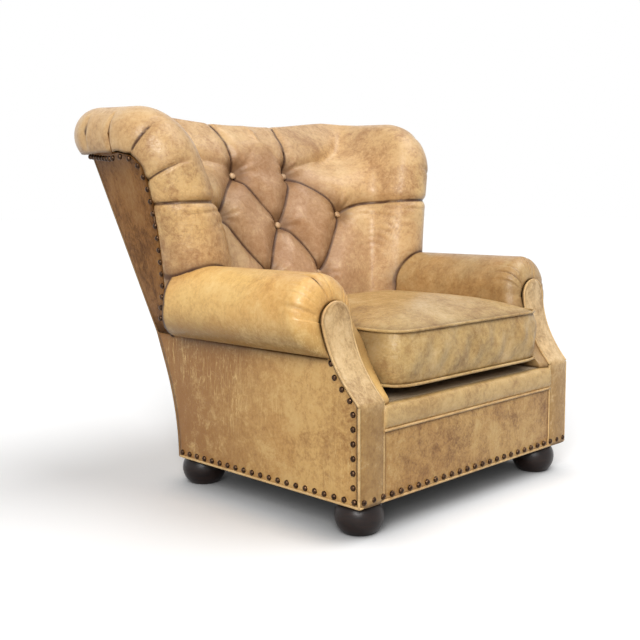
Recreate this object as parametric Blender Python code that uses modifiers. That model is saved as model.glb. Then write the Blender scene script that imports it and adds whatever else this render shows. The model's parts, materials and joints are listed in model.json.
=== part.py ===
"""Leather wingback armchair on bun feet, built as its separate pieces.

Metres, +Z up, the chair facing -Y. The origin is on the floor, under the middle of the chair.
Pieces that come in pairs are named left (-X) and right (+X).
"""

import math

import bmesh
import bpy
import numpy as np
from mathutils import Vector
from mathutils.bvhtree import BVHTree

# Fits
SEAT_GAP = 0.0003
CUSHION_PLAY = 0.004
EDGE_GAP = 0.002
FACING_PLAY = 0.001
BACK_POST_PLAY = 0.010

# Base: a trapezium in plan, wider at the front
FRONT_Y = -0.4925
BASE_DEPTH = 0.659
BASE_FRONT_HALF = 0.4286
BASE_REAR_HALF = 0.409
BASE_UNDERSIDE = 0.0768
BAND_Z = 0.2396
DECK_TOP = 0.297
DECK_PLAY = 0.004
DECK_REAR_INSET = 0.049
EDGE_ROLL_TOP = 0.2955
EDGE_ROLL_DEPTH = 0.027
EDGE_ROLL_BULGE = 0.004
EDGE_ROLL_ROUND = 0.012

# Leather panels and the wood behind them
PANEL = 0.006
FRONT_SKIN = 0.008
RAIL = 0.030
POST_DEPTH = 0.070
FRONT_POST_SETBACK = 0.0536
BACK_POST_WIDTH = 0.045
DUST_COVER = 0.0015

# Rear of the chair: curved foot of the back, then a straight rake
REAR_CURVE_HEIGHT = 0.243
OUTER_RAKE = math.radians(22.5)
SPLAY_TOP_Z = 0.868
WING_SEAM_Z = 0.4036
REAR_SPLAY = 0.056

# Front posts and their facings
FACING_WIDE = 0.0816
KNEE_Z = 0.3068
SWEEP = 0.092
SWEEP_TOP = 0.520
SWEEP_POWER = 2.25
ARCH_INSET = 0.0266
ARCH_Z = 0.481
ARCH_R = 0.045

# Rolled arms
ARM_INSET = 0.0156
ARM_Z = 0.495
ARM_R = 0.094
ARM_HALF = 0.098
ARM_WALL = 0.045
ARM_LIP = 0.011
ARM_ROUND = 0.045
ARM_REAR_INSET = 0.0315
ARM_ROWS = ((0.35, 0.55), (0.65, 0.0), (1.0, 0.0))
ARM_STEPS = 14
BOARD_THICK = 0.022
BOARD_TOP = 0.447
BOARD_INWARD = 0.048
BOARD_OUTWARD = 0.005

# Rolled edge of wings and crest: its centre line, from the arm's axis in x and the rear of the
# base in y, and its radius and end angle along it
WING_FOOT_STEP = (-0.038, -0.074)
WING_END_STEP = (0.042, -0.039)
WING_END_Z = 0.830
FLARE_POWER = 2.5
CREST_CORNER_STEP = (0.075, 0.253)
CREST_CORNER_Z = 0.925
CREST_STEP = 0.201
CREST_Z = 0.878
FRONT_REACH = 0.070
REAR_REACH = 0.085
BEND_STATIONS = [1.33, 1.67, 2.0, 2.5, 3.0, 3.25, 3.5, 3.75]
CREST_STATIONS = [4.0, 4.2, 4.4, 4.6, 4.8, 5.0]
ROLL_STATIONS = (0.0, 1.0, 2.0, 3.5, 5.0)
ROLL_RADII = (0.094, 0.090, 0.082, 0.070, 0.092)
ROLL_ENDS = tuple(math.radians(a) for a in (215, 215, 225, 232, 188))
ROLL_WALL = 0.042
ROLL_STEPS = 10
LIP_FOOT_Z = 0.455
WING_TOP_RISE = 0.022
LIP_RISE = (math.radians(18), math.radians(62))
STICK = 0.034
CREST_RAIL_DROP = 0.050
WING_STICK_SPLIT = 0.86
CORNER_STICK_SPLIT = 3.5
STICK_JOINT = 0.003

# Tufted inside back
SEAT_BACK_INSET = 0.109
BACK_KNEE_Z = 0.470
BACK_KNEE_SOFT = 0.030
INNER_RAKE = math.radians(28)
TUFT_DEPTH = 0.036
PLEAT_HALF = 0.062
PLEAT_SHARE = 0.6
DIMPLE = 0.036
TUFT_TOP = (0.100, 0.830)
TUFT_MID = (0.200, 0.710)
TUFT_CENTRE = (0.0, 0.686)
TUFT_LOW = (0.100, 0.546)
EDGE_DRAW = 0.060
EDGE_BOW = 1.2
FRONT_FADE = 6
REAR_FADE = 4
BACK_COLUMNS = 15
REAR_SHARES = (0.85, 0.6, 0.3)
UPPER_DEPTH = 0.055
BUTTON_R = 0.011
BUTTON_H = 0.007
BUTTON_SIDES = 12
CROSS_RAIL_INSET = 0.004
CROSS_RAIL_Z = 0.455
CROSS_RAIL_HIGH = 0.055
WEBBING_WIDE = 0.060
WEBBING_THICK = 0.002
WEBBING_X = 0.150

# Loose seat cushion
CUSHION_SIDE_PLAY = 0.009
CUSHION_OVERHANG = 0.007
WELT_LOW = 0.330
WELT_HIGH = 0.455
CROWN = 0.045
CROWN_POWER = 2.5
BOXING_BULGE = 0.008
SIDE_PULL = 0.006
CORNER_CUT = 0.055
COVER_WALL = 0.004
CORE_PLAY = 0.0006
ZIP_HALF = 0.72

# Feet, bolts and blocks
FOOT_R = 0.0575
FOOT_MID_Z = 0.040
FOOT_TALL = 0.0533
FRONT_FOOT_INSET = (0.011, 0.0583)
REAR_FOOT_INSET = (0.0177, 0.021)
BOLT_R = 0.004
BOLT_LOW = 0.034
BOLT_LONG = 0.080
BLOCK_LEG = 0.085
BLOCK_HIGH = 0.040

# Seat springs
WIRE_R = 0.0018
SPRING_X = 0.120
SPRING_SWING = 0.026
SPRING_PITCH = 0.066
SPRING_SEAT = 0.010

# Working values
REAR_Y = FRONT_Y + BASE_DEPTH
REAR_TOP_HALF = BASE_REAR_HALF + REAR_SPLAY
FRONT_POST_INNER = BASE_FRONT_HALF - FRONT_POST_SETBACK
FACING_INNER = BASE_FRONT_HALF - FACING_WIDE
DECK_HALF = FACING_INNER - DECK_PLAY
DECK_REAR_Y = REAR_Y - DECK_REAR_INSET
ARCH_X = BASE_FRONT_HALF - ARCH_INSET
ARM_X = BASE_FRONT_HALF - ARM_INSET
ARM_INNER = ARM_X - ARM_HALF
ARM_LIP_X = ARM_X + ARM_LIP
ARM_REAR_Y = REAR_Y - ARM_REAR_INSET
BOARD_INNER = ARM_X - BOARD_INWARD
BOARD_OUTER = ARM_X + BOARD_OUTWARD
WING_FOOT = (ARM_X + WING_FOOT_STEP[0], REAR_Y + WING_FOOT_STEP[1])
WING_END = (ARM_X + WING_END_STEP[0], REAR_Y + WING_END_STEP[1], WING_END_Z)
CREST_CORNER = (ARM_X + CREST_CORNER_STEP[0], REAR_Y + CREST_CORNER_STEP[1], CREST_CORNER_Z)
CREST_Y = REAR_Y + CREST_STEP
SEAT_BACK_Y = REAR_Y - SEAT_BACK_INSET
CROSS_RAIL_Y = REAR_Y - CROSS_RAIL_INSET
CUSHION_HALF = ARM_INNER - CUSHION_SIDE_PLAY
CUSHION_FRONT_Y = FRONT_Y - CUSHION_OVERHANG
FRONT_FOOT = (FRONT_POST_INNER - FRONT_FOOT_INSET[0], FRONT_Y + FRONT_FOOT_INSET[1])
BACK_POST_INNER = BASE_REAR_HALF - PANEL - SEAT_GAP - BACK_POST_WIDTH
REAR_FOOT = (BACK_POST_INNER - REAR_FOOT_INSET[0], REAR_Y - REAR_FOOT_INSET[1])
WOOD_FRONT_Y = FRONT_Y + FRONT_SKIN + SEAT_GAP
RAIL_TOP = BAND_Z - SEAT_GAP
WOOD_UNDERSIDE = BASE_UNDERSIDE + DUST_COVER + SEAT_GAP
PAD_UNDERSIDE = DECK_TOP + SEAT_GAP
CROSS_RAIL_TOP = CROSS_RAIL_Z + CROSS_RAIL_HIGH
CREST_RAIL_FOOT = CREST_Z - CREST_RAIL_DROP
BACK_POST_TOP = CREST_CORNER[2] - CREST_RAIL_DROP - BACK_POST_PLAY
SIDES = (("left", -1), ("right", 1))

CHAIR = bpy.data.collections.new("wingback_chair")
CUTTERS = bpy.data.collections.new("cutters")


# Curves that several pieces share
def side_x(y):
    """Half width of the base at depth y."""
    return BASE_FRONT_HALF + (BASE_REAR_HALF - BASE_FRONT_HALF) * (y - FRONT_Y) / BASE_DEPTH


def rear_y(z):
    """Outer face of the back at height z: a parabola that runs into a straight rake."""
    rise = z - BASE_UNDERSIDE
    slope = math.tan(OUTER_RAKE)
    if rise < REAR_CURVE_HEIGHT:
        return REAR_Y + slope * rise * rise / (2 * REAR_CURVE_HEIGHT)
    return REAR_Y + slope * (rise - REAR_CURVE_HEIGHT / 2)


def rear_half(z):
    """Half width of the back at height z: upright to the arm seam, then splayed."""
    splay = max(0.0, (z - WING_SEAM_Z) / (SPLAY_TOP_Z - WING_SEAM_Z))
    return BASE_REAR_HALF + (REAR_TOP_HALF - BASE_REAR_HALF) * splay


def sweep_y(z):
    """Front of the facing at height z: upright to the knee, then swept back."""
    rise = min(max((z - KNEE_Z) / (SWEEP_TOP - KNEE_Z), 0.0), 1.0)
    return FRONT_Y + SWEEP * (1 - (1 - rise) ** SWEEP_POWER)


def sweep_levels():
    """Heights from the knee to the arch, at which pieces that follow the sweep have points."""
    return [KNEE_Z + (ARCH_Z - KNEE_Z) * k / 6 for k in range(7)]


def rear_levels():
    """Heights up the curved foot of the back, at which pieces that follow it have points."""
    return [BASE_UNDERSIDE + REAR_CURVE_HEIGHT * k / 5 for k in range(6)]


def spine_y(z):
    """Front of the inside back on the centre line, at the level of the tufts' tops."""
    lean = BACK_KNEE_SOFT * np.log1p(np.exp((z - BACK_KNEE_Z) / BACK_KNEE_SOFT))
    return SEAT_BACK_Y + math.tan(INNER_RAKE) * lean


def back_plane_y(z):
    """Rear of the inside back: upright past both rails, raked along the webbing between them."""
    crest_y = CREST_Y - STICK / 2 - WEBBING_THICK - 2 * SEAT_GAP
    low_y = CROSS_RAIL_Y - WEBBING_THICK - 2 * SEAT_GAP
    share = min(max((z - CROSS_RAIL_TOP) / (CREST_RAIL_FOOT - CROSS_RAIL_TOP), 0.0), 1.0)
    return low_y + (crest_y - low_y) * share


def fillet(corner, before, after, reach):
    """Arc that rounds a corner: its start, first direction, turn direction, angle and radius."""
    inward = (after - before * before.dot(after)).normalized()
    angle = before.angle(after)
    return corner - before * reach, before, inward, angle, reach / math.tan(angle / 2)


class RollPath:
    """Centre line of the rolled edge on the right side, from the seat to the middle of the crest.

    Five stretches, each one unit of the parameter long: up the wing with a growing flare, front
    bend, back along the wing's top, rear bend, and along the crest.
    """

    def __init__(self):
        self.foot = Vector((*WING_FOOT, PAD_UNDERSIDE))
        self.climb = Vector(WING_END) - self.foot
        rear = Vector(CREST_CORNER)
        up = self.wing_direction(1.0)
        front = Vector(WING_END) + up * FRONT_REACH
        back = (rear - front).normalized()
        across = Vector((-1.0, 0.0, 0.0))
        self.bends = (fillet(front, up, back, FRONT_REACH), fillet(rear, back, across, REAR_REACH))

    def wing_direction(self, t):
        """Direction of the wing's stretch at parameter t."""
        flare = FLARE_POWER * max(t, 0.0) ** (FLARE_POWER - 1)
        return Vector((self.climb.x * flare, self.climb.y * flare, self.climb.z)).normalized()

    def bend(self, number, share):
        """Point and direction on a bend, share from 0 to 1."""
        start, before, inward, angle, radius = self.bends[number]
        turn = angle * share
        point = start + radius * (math.sin(turn) * before + (1 - math.cos(turn)) * inward)
        return point, math.cos(turn) * before + math.sin(turn) * inward

    def at(self, t):
        """Centre, inward direction and outward-turning direction at parameter t."""
        leg = min(max(int(t), 0), 4)
        share = t - leg
        if leg == 0:
            flare = max(t, 0.0) ** FLARE_POWER
            centre = self.foot + Vector((self.climb.x * flare, self.climb.y * flare, self.climb.z * t))
            along = self.wing_direction(t)
        elif leg == 2:
            start, along = self.bend(0, 1.0)
            centre = start.lerp(self.bend(1, 0.0)[0], share)
        elif leg == 4:
            start, along = self.bend(1, 1.0)
            reach = 1 - share
            sag = 1 - reach * reach
            drop = Vector((0.0, CREST_CORNER[1] - CREST_Y, CREST_CORNER[2] - CREST_Z))
            centre = Vector((start.x * reach, start.y, start.z)) - drop * sag
        else:
            centre, along = self.bend(leg // 2, share)
        turned = (math.pi / 2) * min(max(t - 3, 0.0), 1.0)
        inward = Vector((-math.cos(turned), -math.sin(turned), 0.0))
        return centre, inward, along.cross(inward).normalized()

    def at_height(self, z):
        """Parameter on the wing's upright stretch at height z."""
        return (z - self.foot.z) / self.climb.z


ROLL = RollPath()


def roll_radius(t):
    """Radius of the rolled edge at parameter t."""
    return float(np.interp(t, ROLL_STATIONS, ROLL_RADII))


def roll_end(t):
    """Angle at which the rolled edge stops on the outside."""
    return float(np.interp(t, ROLL_STATIONS, ROLL_ENDS))


def roll_point(t, angle, wall=0.0):
    """Point on the rolled edge, wall deep in it: angle 0 faces the sitter, a quarter turn faces out."""
    centre, inward, outward = ROLL.at(t)
    return centre + (roll_radius(t) - wall) * (math.cos(angle) * inward + math.sin(angle) * outward)


# Scene helpers
def material(name, colour, roughness, metallic=0.0):
    """Principled material of one colour."""
    made = bpy.data.materials.new(name)
    made.use_nodes = True
    shader = made.node_tree.nodes["Principled BSDF"]
    shader.inputs["Base Color"].default_value = (*colour, 1.0)
    shader.inputs["Roughness"].default_value = roughness
    shader.inputs["Metallic"].default_value = metallic
    return made


def adopt(piece, finish, parent=None):
    """Moves a piece to the chair's collection, under its parent, with its material."""
    for old in list(piece.users_collection):
        old.objects.unlink(piece)
    CHAIR.objects.link(piece)
    piece.data.materials.clear()
    piece.data.materials.append(finish)
    if parent is not None:
        piece.parent = parent
    return piece


def smooth(piece, angle=40.0):
    """Shades a piece smooth, with its sharp edges kept."""
    piece.data.shade_smooth()
    piece.data.set_sharp_from_angle(angle=math.radians(angle))


def hide_cutter(cutter):
    """Marks an object as a cutter and leaves it out of the model."""
    for old in list(cutter.users_collection):
        old.objects.unlink(cutter)
    CUTTERS.objects.link(cutter)
    cutter.hide_render = True
    cutter.display_type = "WIRE"
    return cutter


def cut(piece, cutter):
    """Subtracts a cutter from a piece."""
    step = piece.modifiers.new("cut", "BOOLEAN")
    step.operation = "DIFFERENCE"
    step.solver = "EXACT"
    step.object = cutter


def bevel(piece, width, segments=2):
    """Rounds a piece's edges."""
    step = piece.modifiers.new("round", "BEVEL")
    step.width = width
    step.segments = segments
    step.limit_method = "ANGLE"


def box(name, low, high, finish, turn=0.0, parent=None):
    """Block between two corners, turned about its own upright axis."""
    middle = [(a + b) / 2 for a, b in zip(low, high)]
    bpy.ops.mesh.primitive_cube_add(size=1, location=middle)
    piece = bpy.context.active_object
    piece.name = name
    piece.scale = [b - a for a, b in zip(low, high)]
    bpy.ops.object.transform_apply(location=False, rotation=False, scale=True)
    piece.rotation_euler.z = turn
    return adopt(piece, finish, parent)


def cylinder(name, radius, low, high, place, sides=16):
    """Upright cylinder between two heights."""
    bpy.ops.mesh.primitive_cylinder_add(
        vertices=sides, radius=radius, depth=high - low, location=(*place, (low + high) / 2)
    )
    piece = bpy.context.active_object
    piece.name = name
    return piece


def loft(name, rings, finish, parent=None):
    """Closed solid through rings of equal point counts, capped at both ends."""
    bm = bmesh.new()
    rows = [[bm.verts.new(point) for point in ring] for ring in rings]
    count = len(rows[0])
    for lower, upper in zip(rows, rows[1:]):
        for i in range(count):
            j = (i + 1) % count
            bm.faces.new((lower[i], lower[j], upper[j], upper[i]))
    bm.faces.new(rows[0][::-1])
    bm.faces.new(rows[-1])
    bmesh.ops.recalc_face_normals(bm, faces=bm.faces)
    mesh = bpy.data.meshes.new(name)
    bm.to_mesh(mesh)
    bm.free()
    piece = bpy.data.objects.new(name, mesh)
    bpy.context.scene.collection.objects.link(piece)
    return adopt(piece, finish, parent)


def shell(name, outer, inner, finish, open_end=False):
    """Closed skin between two grids of points of equal size, joined along their rims.

    With open_end, the rim along the last row is left open for a mirrored half.
    """
    bm = bmesh.new()
    grids = [[[bm.verts.new(p) for p in row] for row in grid] for grid in (outer, inner)]
    for grid in grids:
        for lower, upper in zip(grid, grid[1:]):
            for i in range(len(lower) - 1):
                bm.faces.new((lower[i], lower[i + 1], upper[i + 1], upper[i]))
    front, back = grids
    for row in (0,) if open_end else (0, -1):
        for i in range(len(front[row]) - 1):
            bm.faces.new((front[row][i], front[row][i + 1], back[row][i + 1], back[row][i]))
    for column in (0, -1):
        for low, high in zip(range(len(front)), range(1, len(front))):
            bm.faces.new((front[low][column], front[high][column], back[high][column], back[low][column]))
    bmesh.ops.recalc_face_normals(bm, faces=bm.faces)
    mesh = bpy.data.meshes.new(name)
    bm.to_mesh(mesh)
    bm.free()
    piece = bpy.data.objects.new(name, mesh)
    bpy.context.scene.collection.objects.link(piece)
    return adopt(piece, finish)


def ruled_panel(name, levels, finish):
    """Leather panel through levels of (front point, rear point, inward step)."""
    rings = []
    for front, rear, step in levels:
        inner_rear = tuple(a + b for a, b in zip(rear, step))
        inner_front = tuple(a + b for a, b in zip(front, step))
        rings.append((front, rear, inner_rear, inner_front))
    return loft(name, rings, finish)


def outline_solid(name, points, thickness, finish):
    """Flat outline of local x and y points, thickened evenly to both sides."""
    curve = bpy.data.curves.new(name, "CURVE")
    curve.dimensions = "2D"
    curve.fill_mode = "BOTH"
    curve.extrude = thickness / 2
    spline = curve.splines.new("POLY")
    spline.points.add(len(points) - 1)
    for slot, point in zip(spline.points, points):
        slot.co = (*point, 0.0, 1.0)
    spline.use_cyclic_u = True
    piece = bpy.data.objects.new(name, curve)
    bpy.context.scene.collection.objects.link(piece)
    return adopt(piece, finish)


def turned(name, profile, steps, finish, parent=None):
    """Solid of revolution about Z from a profile that runs down its outer side."""
    mesh = bpy.data.meshes.new(name)
    points = [(radius, 0.0, height) for radius, height in profile]
    mesh.from_pydata(points, [(i, i + 1) for i in range(len(points) - 1)], [])
    piece = bpy.data.objects.new(name, mesh)
    bpy.context.scene.collection.objects.link(piece)
    spin = piece.modifiers.new("turn", "SCREW")
    spin.steps = steps
    spin.render_steps = steps
    spin.use_merge_vertices = True
    spin.merge_threshold = 0.00001
    spin.use_smooth_shade = True
    return adopt(piece, finish, parent)


def mirrored(piece):
    """Mirrors a half that is open at the middle plane."""
    step = piece.modifiers.new("mirror", "MIRROR")
    step.use_axis = (True, False, False)
    step.use_clip = True
    step.merge_threshold = 0.00005


def named(base, side):
    """Name of a piece on one side."""
    return base + "_" + side


# Frame and base
def build_rails(wood):
    """Front, rear and side rails of the seat frame; returns the rear one."""
    box(
        "front_rail",
        (-FRONT_POST_INNER + SEAT_GAP, WOOD_FRONT_Y, WOOD_UNDERSIDE),
        (FRONT_POST_INNER - SEAT_GAP, WOOD_FRONT_Y + RAIL, RAIL_TOP),
        wood,
    )
    inner = back_post_inner(BASE_UNDERSIDE) - SEAT_GAP
    rear_face = REAR_Y - PANEL - SEAT_GAP
    rear_rail = box(
        "rear_rail",
        (-inner, rear_face - RAIL, WOOD_UNDERSIDE),
        (inner, rear_face, RAIL_TOP),
        wood,
    )
    taper = math.atan2(BASE_FRONT_HALF - BASE_REAR_HALF, BASE_DEPTH)
    start = WOOD_FRONT_Y + POST_DEPTH + SEAT_GAP
    end = back_post_front(WOOD_UNDERSIDE) - SEAT_GAP
    half = (end - start) / 2 - RAIL * math.tan(taper) / 2
    middle_y = (start + end) / 2
    middle_x = side_x(middle_y) - (PANEL + SEAT_GAP) - RAIL / 2 / math.cos(taper)
    for side, sign in SIDES:
        box(
            named("side_rail", side),
            (sign * middle_x - RAIL / 2, middle_y - half, WOOD_UNDERSIDE),
            (sign * middle_x + RAIL / 2, middle_y + half, RAIL_TOP),
            wood,
            turn=sign * taper,
        )
    return rear_rail


def back_post_inner(z):
    """Inner face of the back post at height z."""
    return rear_half(z) - PANEL - SEAT_GAP - BACK_POST_WIDTH


def back_post_front(z):
    """Front face of the back post at height z."""
    return rear_y(z) - PANEL - SEAT_GAP - POST_DEPTH


def build_posts(wood):
    """Front posts, sawn to the sweep of the facings, and raked, splayed back posts."""
    top = BOARD_TOP - BOARD_THICK - SEAT_GAP
    heights = [WOOD_UNDERSIDE] + [z for z in sweep_levels() if z < top] + [top]
    skin = FRONT_SKIN + SEAT_GAP
    outline = [(sweep_y(z) + skin, z) for z in heights]
    outline += [(sweep_y(z) + skin + POST_DEPTH, z) for z in reversed(heights)]
    ends = (FRONT_Y, FRONT_Y + FRONT_SKIN + POST_DEPTH + SWEEP)
    outer = min(side_x(y) for y in ends) - PANEL - SEAT_GAP
    for side, sign in SIDES:
        post = outline_solid(named("front_post", side), outline, outer - FRONT_POST_INNER, wood)
        post.rotation_euler = (math.pi / 2, 0.0, math.pi / 2)
        post.location.x = sign * (outer + FRONT_POST_INNER) / 2
    levels = [WOOD_UNDERSIDE] + rear_levels()[1:] + [WING_SEAM_Z, BACK_POST_TOP]
    for side, sign in SIDES:
        rings = []
        for z in levels:
            inner = sign * back_post_inner(z)
            outer = sign * (back_post_inner(z) + BACK_POST_WIDTH)
            front, rear = back_post_front(z), back_post_front(z) + POST_DEPTH
            rings.append(((inner, front, z), (outer, front, z), (outer, rear, z), (inner, rear, z)))
        loft(named("back_post", side), rings, wood)


def swept_stick(name, sign, stations, inward, outward, wood):
    """Rectangular stick carried along the rolled edge's centre line."""
    rings = []
    for t in stations:
        centre, across, out = ROLL.at(t)
        corners = [(inward[0], outward[0]), (inward[1], outward[0])]
        corners += [(inward[1], outward[1]), (inward[0], outward[1])]
        ring = [centre + a * across + b * out for a, b in corners]
        rings.append([(sign * p.x, p.y, p.z) for p in ring])
    return loft(name, rings, wood)


def build_arm_boards(wood):
    """Boards inside the arm rolls, from the front posts back to the back posts."""
    top = BOARD_TOP
    front = sweep_y(top) + FRONT_SKIN + SEAT_GAP
    rear = back_post_front(top - BOARD_THICK) - SEAT_GAP
    for side, sign in SIDES:
        ends = sorted((sign * BOARD_INNER, sign * BOARD_OUTER))
        box(
            named("arm_board", side),
            (ends[0], front, top - BOARD_THICK),
            (ends[1], rear, top),
            wood,
        )


def build_back_frame(wood, webbing):
    """Wing posts, wing rails, crest rail, cross rail and the webbing between the last two."""
    half = STICK / 2
    tilt = ROLL.at(ROLL.at_height(BOARD_TOP))[2].z
    post_foot = ROLL.at_height(BOARD_TOP + SEAT_GAP + half * tilt)
    for side, sign in SIDES:
        stations = (post_foot, WING_STICK_SPLIT)
        swept_stick(named("wing_post", side), sign, stations, (-half, half), (-half, half), wood)
        stations = [WING_STICK_SPLIT + STICK_JOINT, 1.0, 1.25, 1.5, 1.75, 2.0, 3.0, 3.25]
        stations.append(CORNER_STICK_SPLIT)
        swept_stick(named("wing_rail", side), sign, stations, (-half, half), (-half, half), wood)
    half_stations = [CORNER_STICK_SPLIT + 2 * STICK_JOINT, 3.75, 4.0, 4.35, 4.7, 5.0]
    crest = (-CREST_RAIL_DROP, half)
    crest_rail = swept_stick("crest_rail", 1, half_stations, (-half, half), crest, wood)
    open_middle(crest_rail)
    mirrored(crest_rail)
    reach = back_post_inner(CROSS_RAIL_Z) + BACK_POST_WIDTH
    rear = back_post_front(CROSS_RAIL_Z) - SEAT_GAP
    box(
        "back_cross_rail",
        (-reach, CROSS_RAIL_Y, CROSS_RAIL_Z),
        (reach, rear, CROSS_RAIL_Z + CROSS_RAIL_HIGH),
        wood,
    )
    heights = (CROSS_RAIL_Z, CROSS_RAIL_TOP, CREST_RAIL_FOOT, CREST_Z)
    for number, place in enumerate((-WEBBING_X, 0.0, WEBBING_X), start=1):
        rings = []
        for z in heights:
            front = back_plane_y(z) + SEAT_GAP
            low, high = place - WEBBING_WIDE / 2, place + WEBBING_WIDE / 2
            back = front + WEBBING_THICK
            rings.append(((low, front, z), (high, front, z), (high, back, z), (low, back, z)))
        loft("back_webbing_%d" % number, rings, webbing)


def open_middle(piece):
    """Removes the faces that lie in the middle plane, so that a half can be mirrored."""
    bm = bmesh.new()
    bm.from_mesh(piece.data)
    flat = [f for f in bm.faces if all(abs(v.co.x) < 0.00001 for v in f.verts)]
    bmesh.ops.delete(bm, geom=flat, context="FACES_ONLY")
    bm.to_mesh(piece.data)
    bm.free()


def build_feet(rear_rail, wood, dark_wood, steel, cloth):
    """Bun feet, hanger bolts, corner blocks and the dust cover between them.

    The front bolts screw into the corner blocks, the rear ones into the rear rail.
    """
    foot_top = BASE_UNDERSIDE - SEAT_GAP
    start = math.asin((foot_top - FOOT_MID_Z) / FOOT_TALL)
    end = -math.asin(FOOT_MID_Z / FOOT_TALL)
    angles = [start + (end - start) * k / 8 for k in range(9)]
    profile = [(0.0, foot_top)]
    profile += [(FOOT_R * math.cos(a), FOOT_MID_Z + FOOT_TALL * math.sin(a)) for a in angles]
    profile += [(0.0, profile[-1][1])]
    hole = BOLT_R + SEAT_GAP
    block_top = WOOD_UNDERSIDE + BLOCK_HIGH
    corners = (
        ("front", FRONT_FOOT, FRONT_POST_INNER - SEAT_GAP, WOOD_FRONT_Y + RAIL + SEAT_GAP, 1),
        ("rear", REAR_FOOT, back_post_inner(BASE_UNDERSIDE) - SEAT_GAP,
         REAR_Y - PANEL - RAIL - 2 * SEAT_GAP, -1),
    )
    holes = []
    for end_name, (foot_x, foot_y), corner_x, corner_y, inward in corners:
        for side, sign in SIDES:
            name = named(end_name, side)
            place = (sign * foot_x, foot_y)
            foot = turned("foot_" + name, profile, 24, dark_wood)
            foot.location = (*place, 0.0)
            bolt = cylinder("hanger_bolt_" + name, BOLT_R, BOLT_LOW, BOLT_LOW + BOLT_LONG, place, 12)
            adopt(bolt, steel)
            triangle = [
                (sign * corner_x, corner_y),
                (sign * (corner_x - BLOCK_LEG), corner_y),
                (sign * corner_x, corner_y + inward * BLOCK_LEG),
            ]
            rings = [[(x, y, z) for x, y in triangle] for z in (WOOD_UNDERSIDE, block_top)]
            block = loft("corner_block_" + name, rings, wood)
            bore_top = BOLT_LOW + BOLT_LONG + SEAT_GAP
            bore = hide_cutter(cylinder("bore_" + name, hole, BOLT_LOW - SEAT_GAP, bore_top, place, 12))
            cut(foot, bore)
            cut(block if end_name == "front" else rear_rail, bore)
            holes.append(bore)
    front, rear = WOOD_FRONT_Y, REAR_Y - PANEL - SEAT_GAP
    inset = PANEL + SEAT_GAP
    outline = [
        (-side_x(front) + inset, front),
        (side_x(front) - inset, front),
        (side_x(rear) - inset, rear),
        (-side_x(rear) + inset, rear),
    ]
    rings = [[(x, y, z) for x, y in outline] for z in (BASE_UNDERSIDE, BASE_UNDERSIDE + DUST_COVER)]
    cover = loft("dust_cover", rings, cloth)
    for bore in holes:
        cut(cover, bore)


def build_springs(steel):
    """Sinuous springs across the seat, resting on the front and rear rails."""
    edge_rear = FRONT_Y - EDGE_ROLL_BULGE + EDGE_ROLL_DEPTH
    start = edge_rear + 2 * SEAT_GAP + WIRE_R
    end = REAR_Y - PANEL - RAIL + SPRING_SEAT
    height = RAIL_TOP + SEAT_GAP + WIRE_R
    waves = round((end - start) / SPRING_PITCH)
    count = waves * 6 + 1
    for number in range(-2, 3):
        curve = bpy.data.curves.new("seat_spring_%d" % (number + 3), "CURVE")
        curve.dimensions = "3D"
        curve.bevel_depth = WIRE_R
        curve.bevel_resolution = 0
        curve.use_fill_caps = True
        spline = curve.splines.new("POLY")
        spline.points.add(count - 1)
        for k, slot in enumerate(spline.points):
            share = k / (count - 1)
            swing = SPRING_SWING * math.sin(2 * math.pi * waves * share)
            slot.co = (number * SPRING_X + swing, start + (end - start) * share, height, 1.0)
        piece = bpy.data.objects.new(curve.name, curve)
        bpy.context.scene.collection.objects.link(piece)
        adopt(piece, steel)


# Upholstery
def build_panels(leather):
    """Front panel, outside arms, outside wings and outside back."""
    box(
        "front_panel",
        (-FACING_INNER + SEAT_GAP, FRONT_Y, BASE_UNDERSIDE),
        (FACING_INNER - SEAT_GAP, FRONT_Y + FRONT_SKIN, BAND_Z - SEAT_GAP),
        leather,
    )
    top = ARM_Z - ARM_R - SEAT_GAP
    low_levels = sorted(z for z in sweep_levels() + rear_levels() if z < top) + [top]
    for side, sign in SIDES:
        levels = []
        for z in low_levels:
            front = sweep_y(z) + FRONT_SKIN + SEAT_GAP
            rear = rear_y(z) - PANEL - SEAT_GAP
            levels.append((
                (sign * side_x(front), front, z),
                (sign * max(side_x(rear), BASE_REAR_HALF), rear, z),
                (-sign * PANEL, 0.0, 0.0),
            ))
        ruled_panel(named("outside_arm", side), levels, leather)
        ruled_panel(named("outside_wing", side), wing_levels(sign), leather)
    levels = []
    back_top = min(roll_point(t, roll_end(t)).z for t in CREST_STATIONS) - EDGE_GAP
    for z in rear_levels() + [WING_SEAM_Z, back_top]:
        half = rear_half(z)
        levels.append(((-half, rear_y(z), z), (half, rear_y(z), z), (0.0, -PANEL, 0.0)))
    ruled_panel("outside_back", levels, leather)


def wing_levels(sign):
    """Levels of an outside wing: its front edge follows the end of the rolled edge."""
    foot = ROLL.at_height(LIP_FOOT_Z)
    stations = [foot + (1 - foot) * k / 4 for k in range(5)] + [1.33, 1.67, 2.0]
    low = Vector((BASE_REAR_HALF + PANEL, roll_point(foot, roll_end(foot)).y, WING_SEAM_Z))
    fronts = [(low, WING_SEAM_Z)]
    for t in stations:
        point = roll_point(t, roll_end(t) + EDGE_GAP / roll_radius(t)) - Vector((0.0, 0.0, EDGE_GAP))
        fronts.append((point, point.z + WING_TOP_RISE * max(0.0, t - 1)))
    levels = []
    for point, rear_z in fronts:
        levels.append((
            (sign * point.x, point.y, point.z),
            (sign * rear_half(rear_z), rear_y(rear_z) - PANEL - SEAT_GAP, rear_z),
            (-sign * PANEL, 0.0, 0.0),
        ))
    return levels


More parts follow.
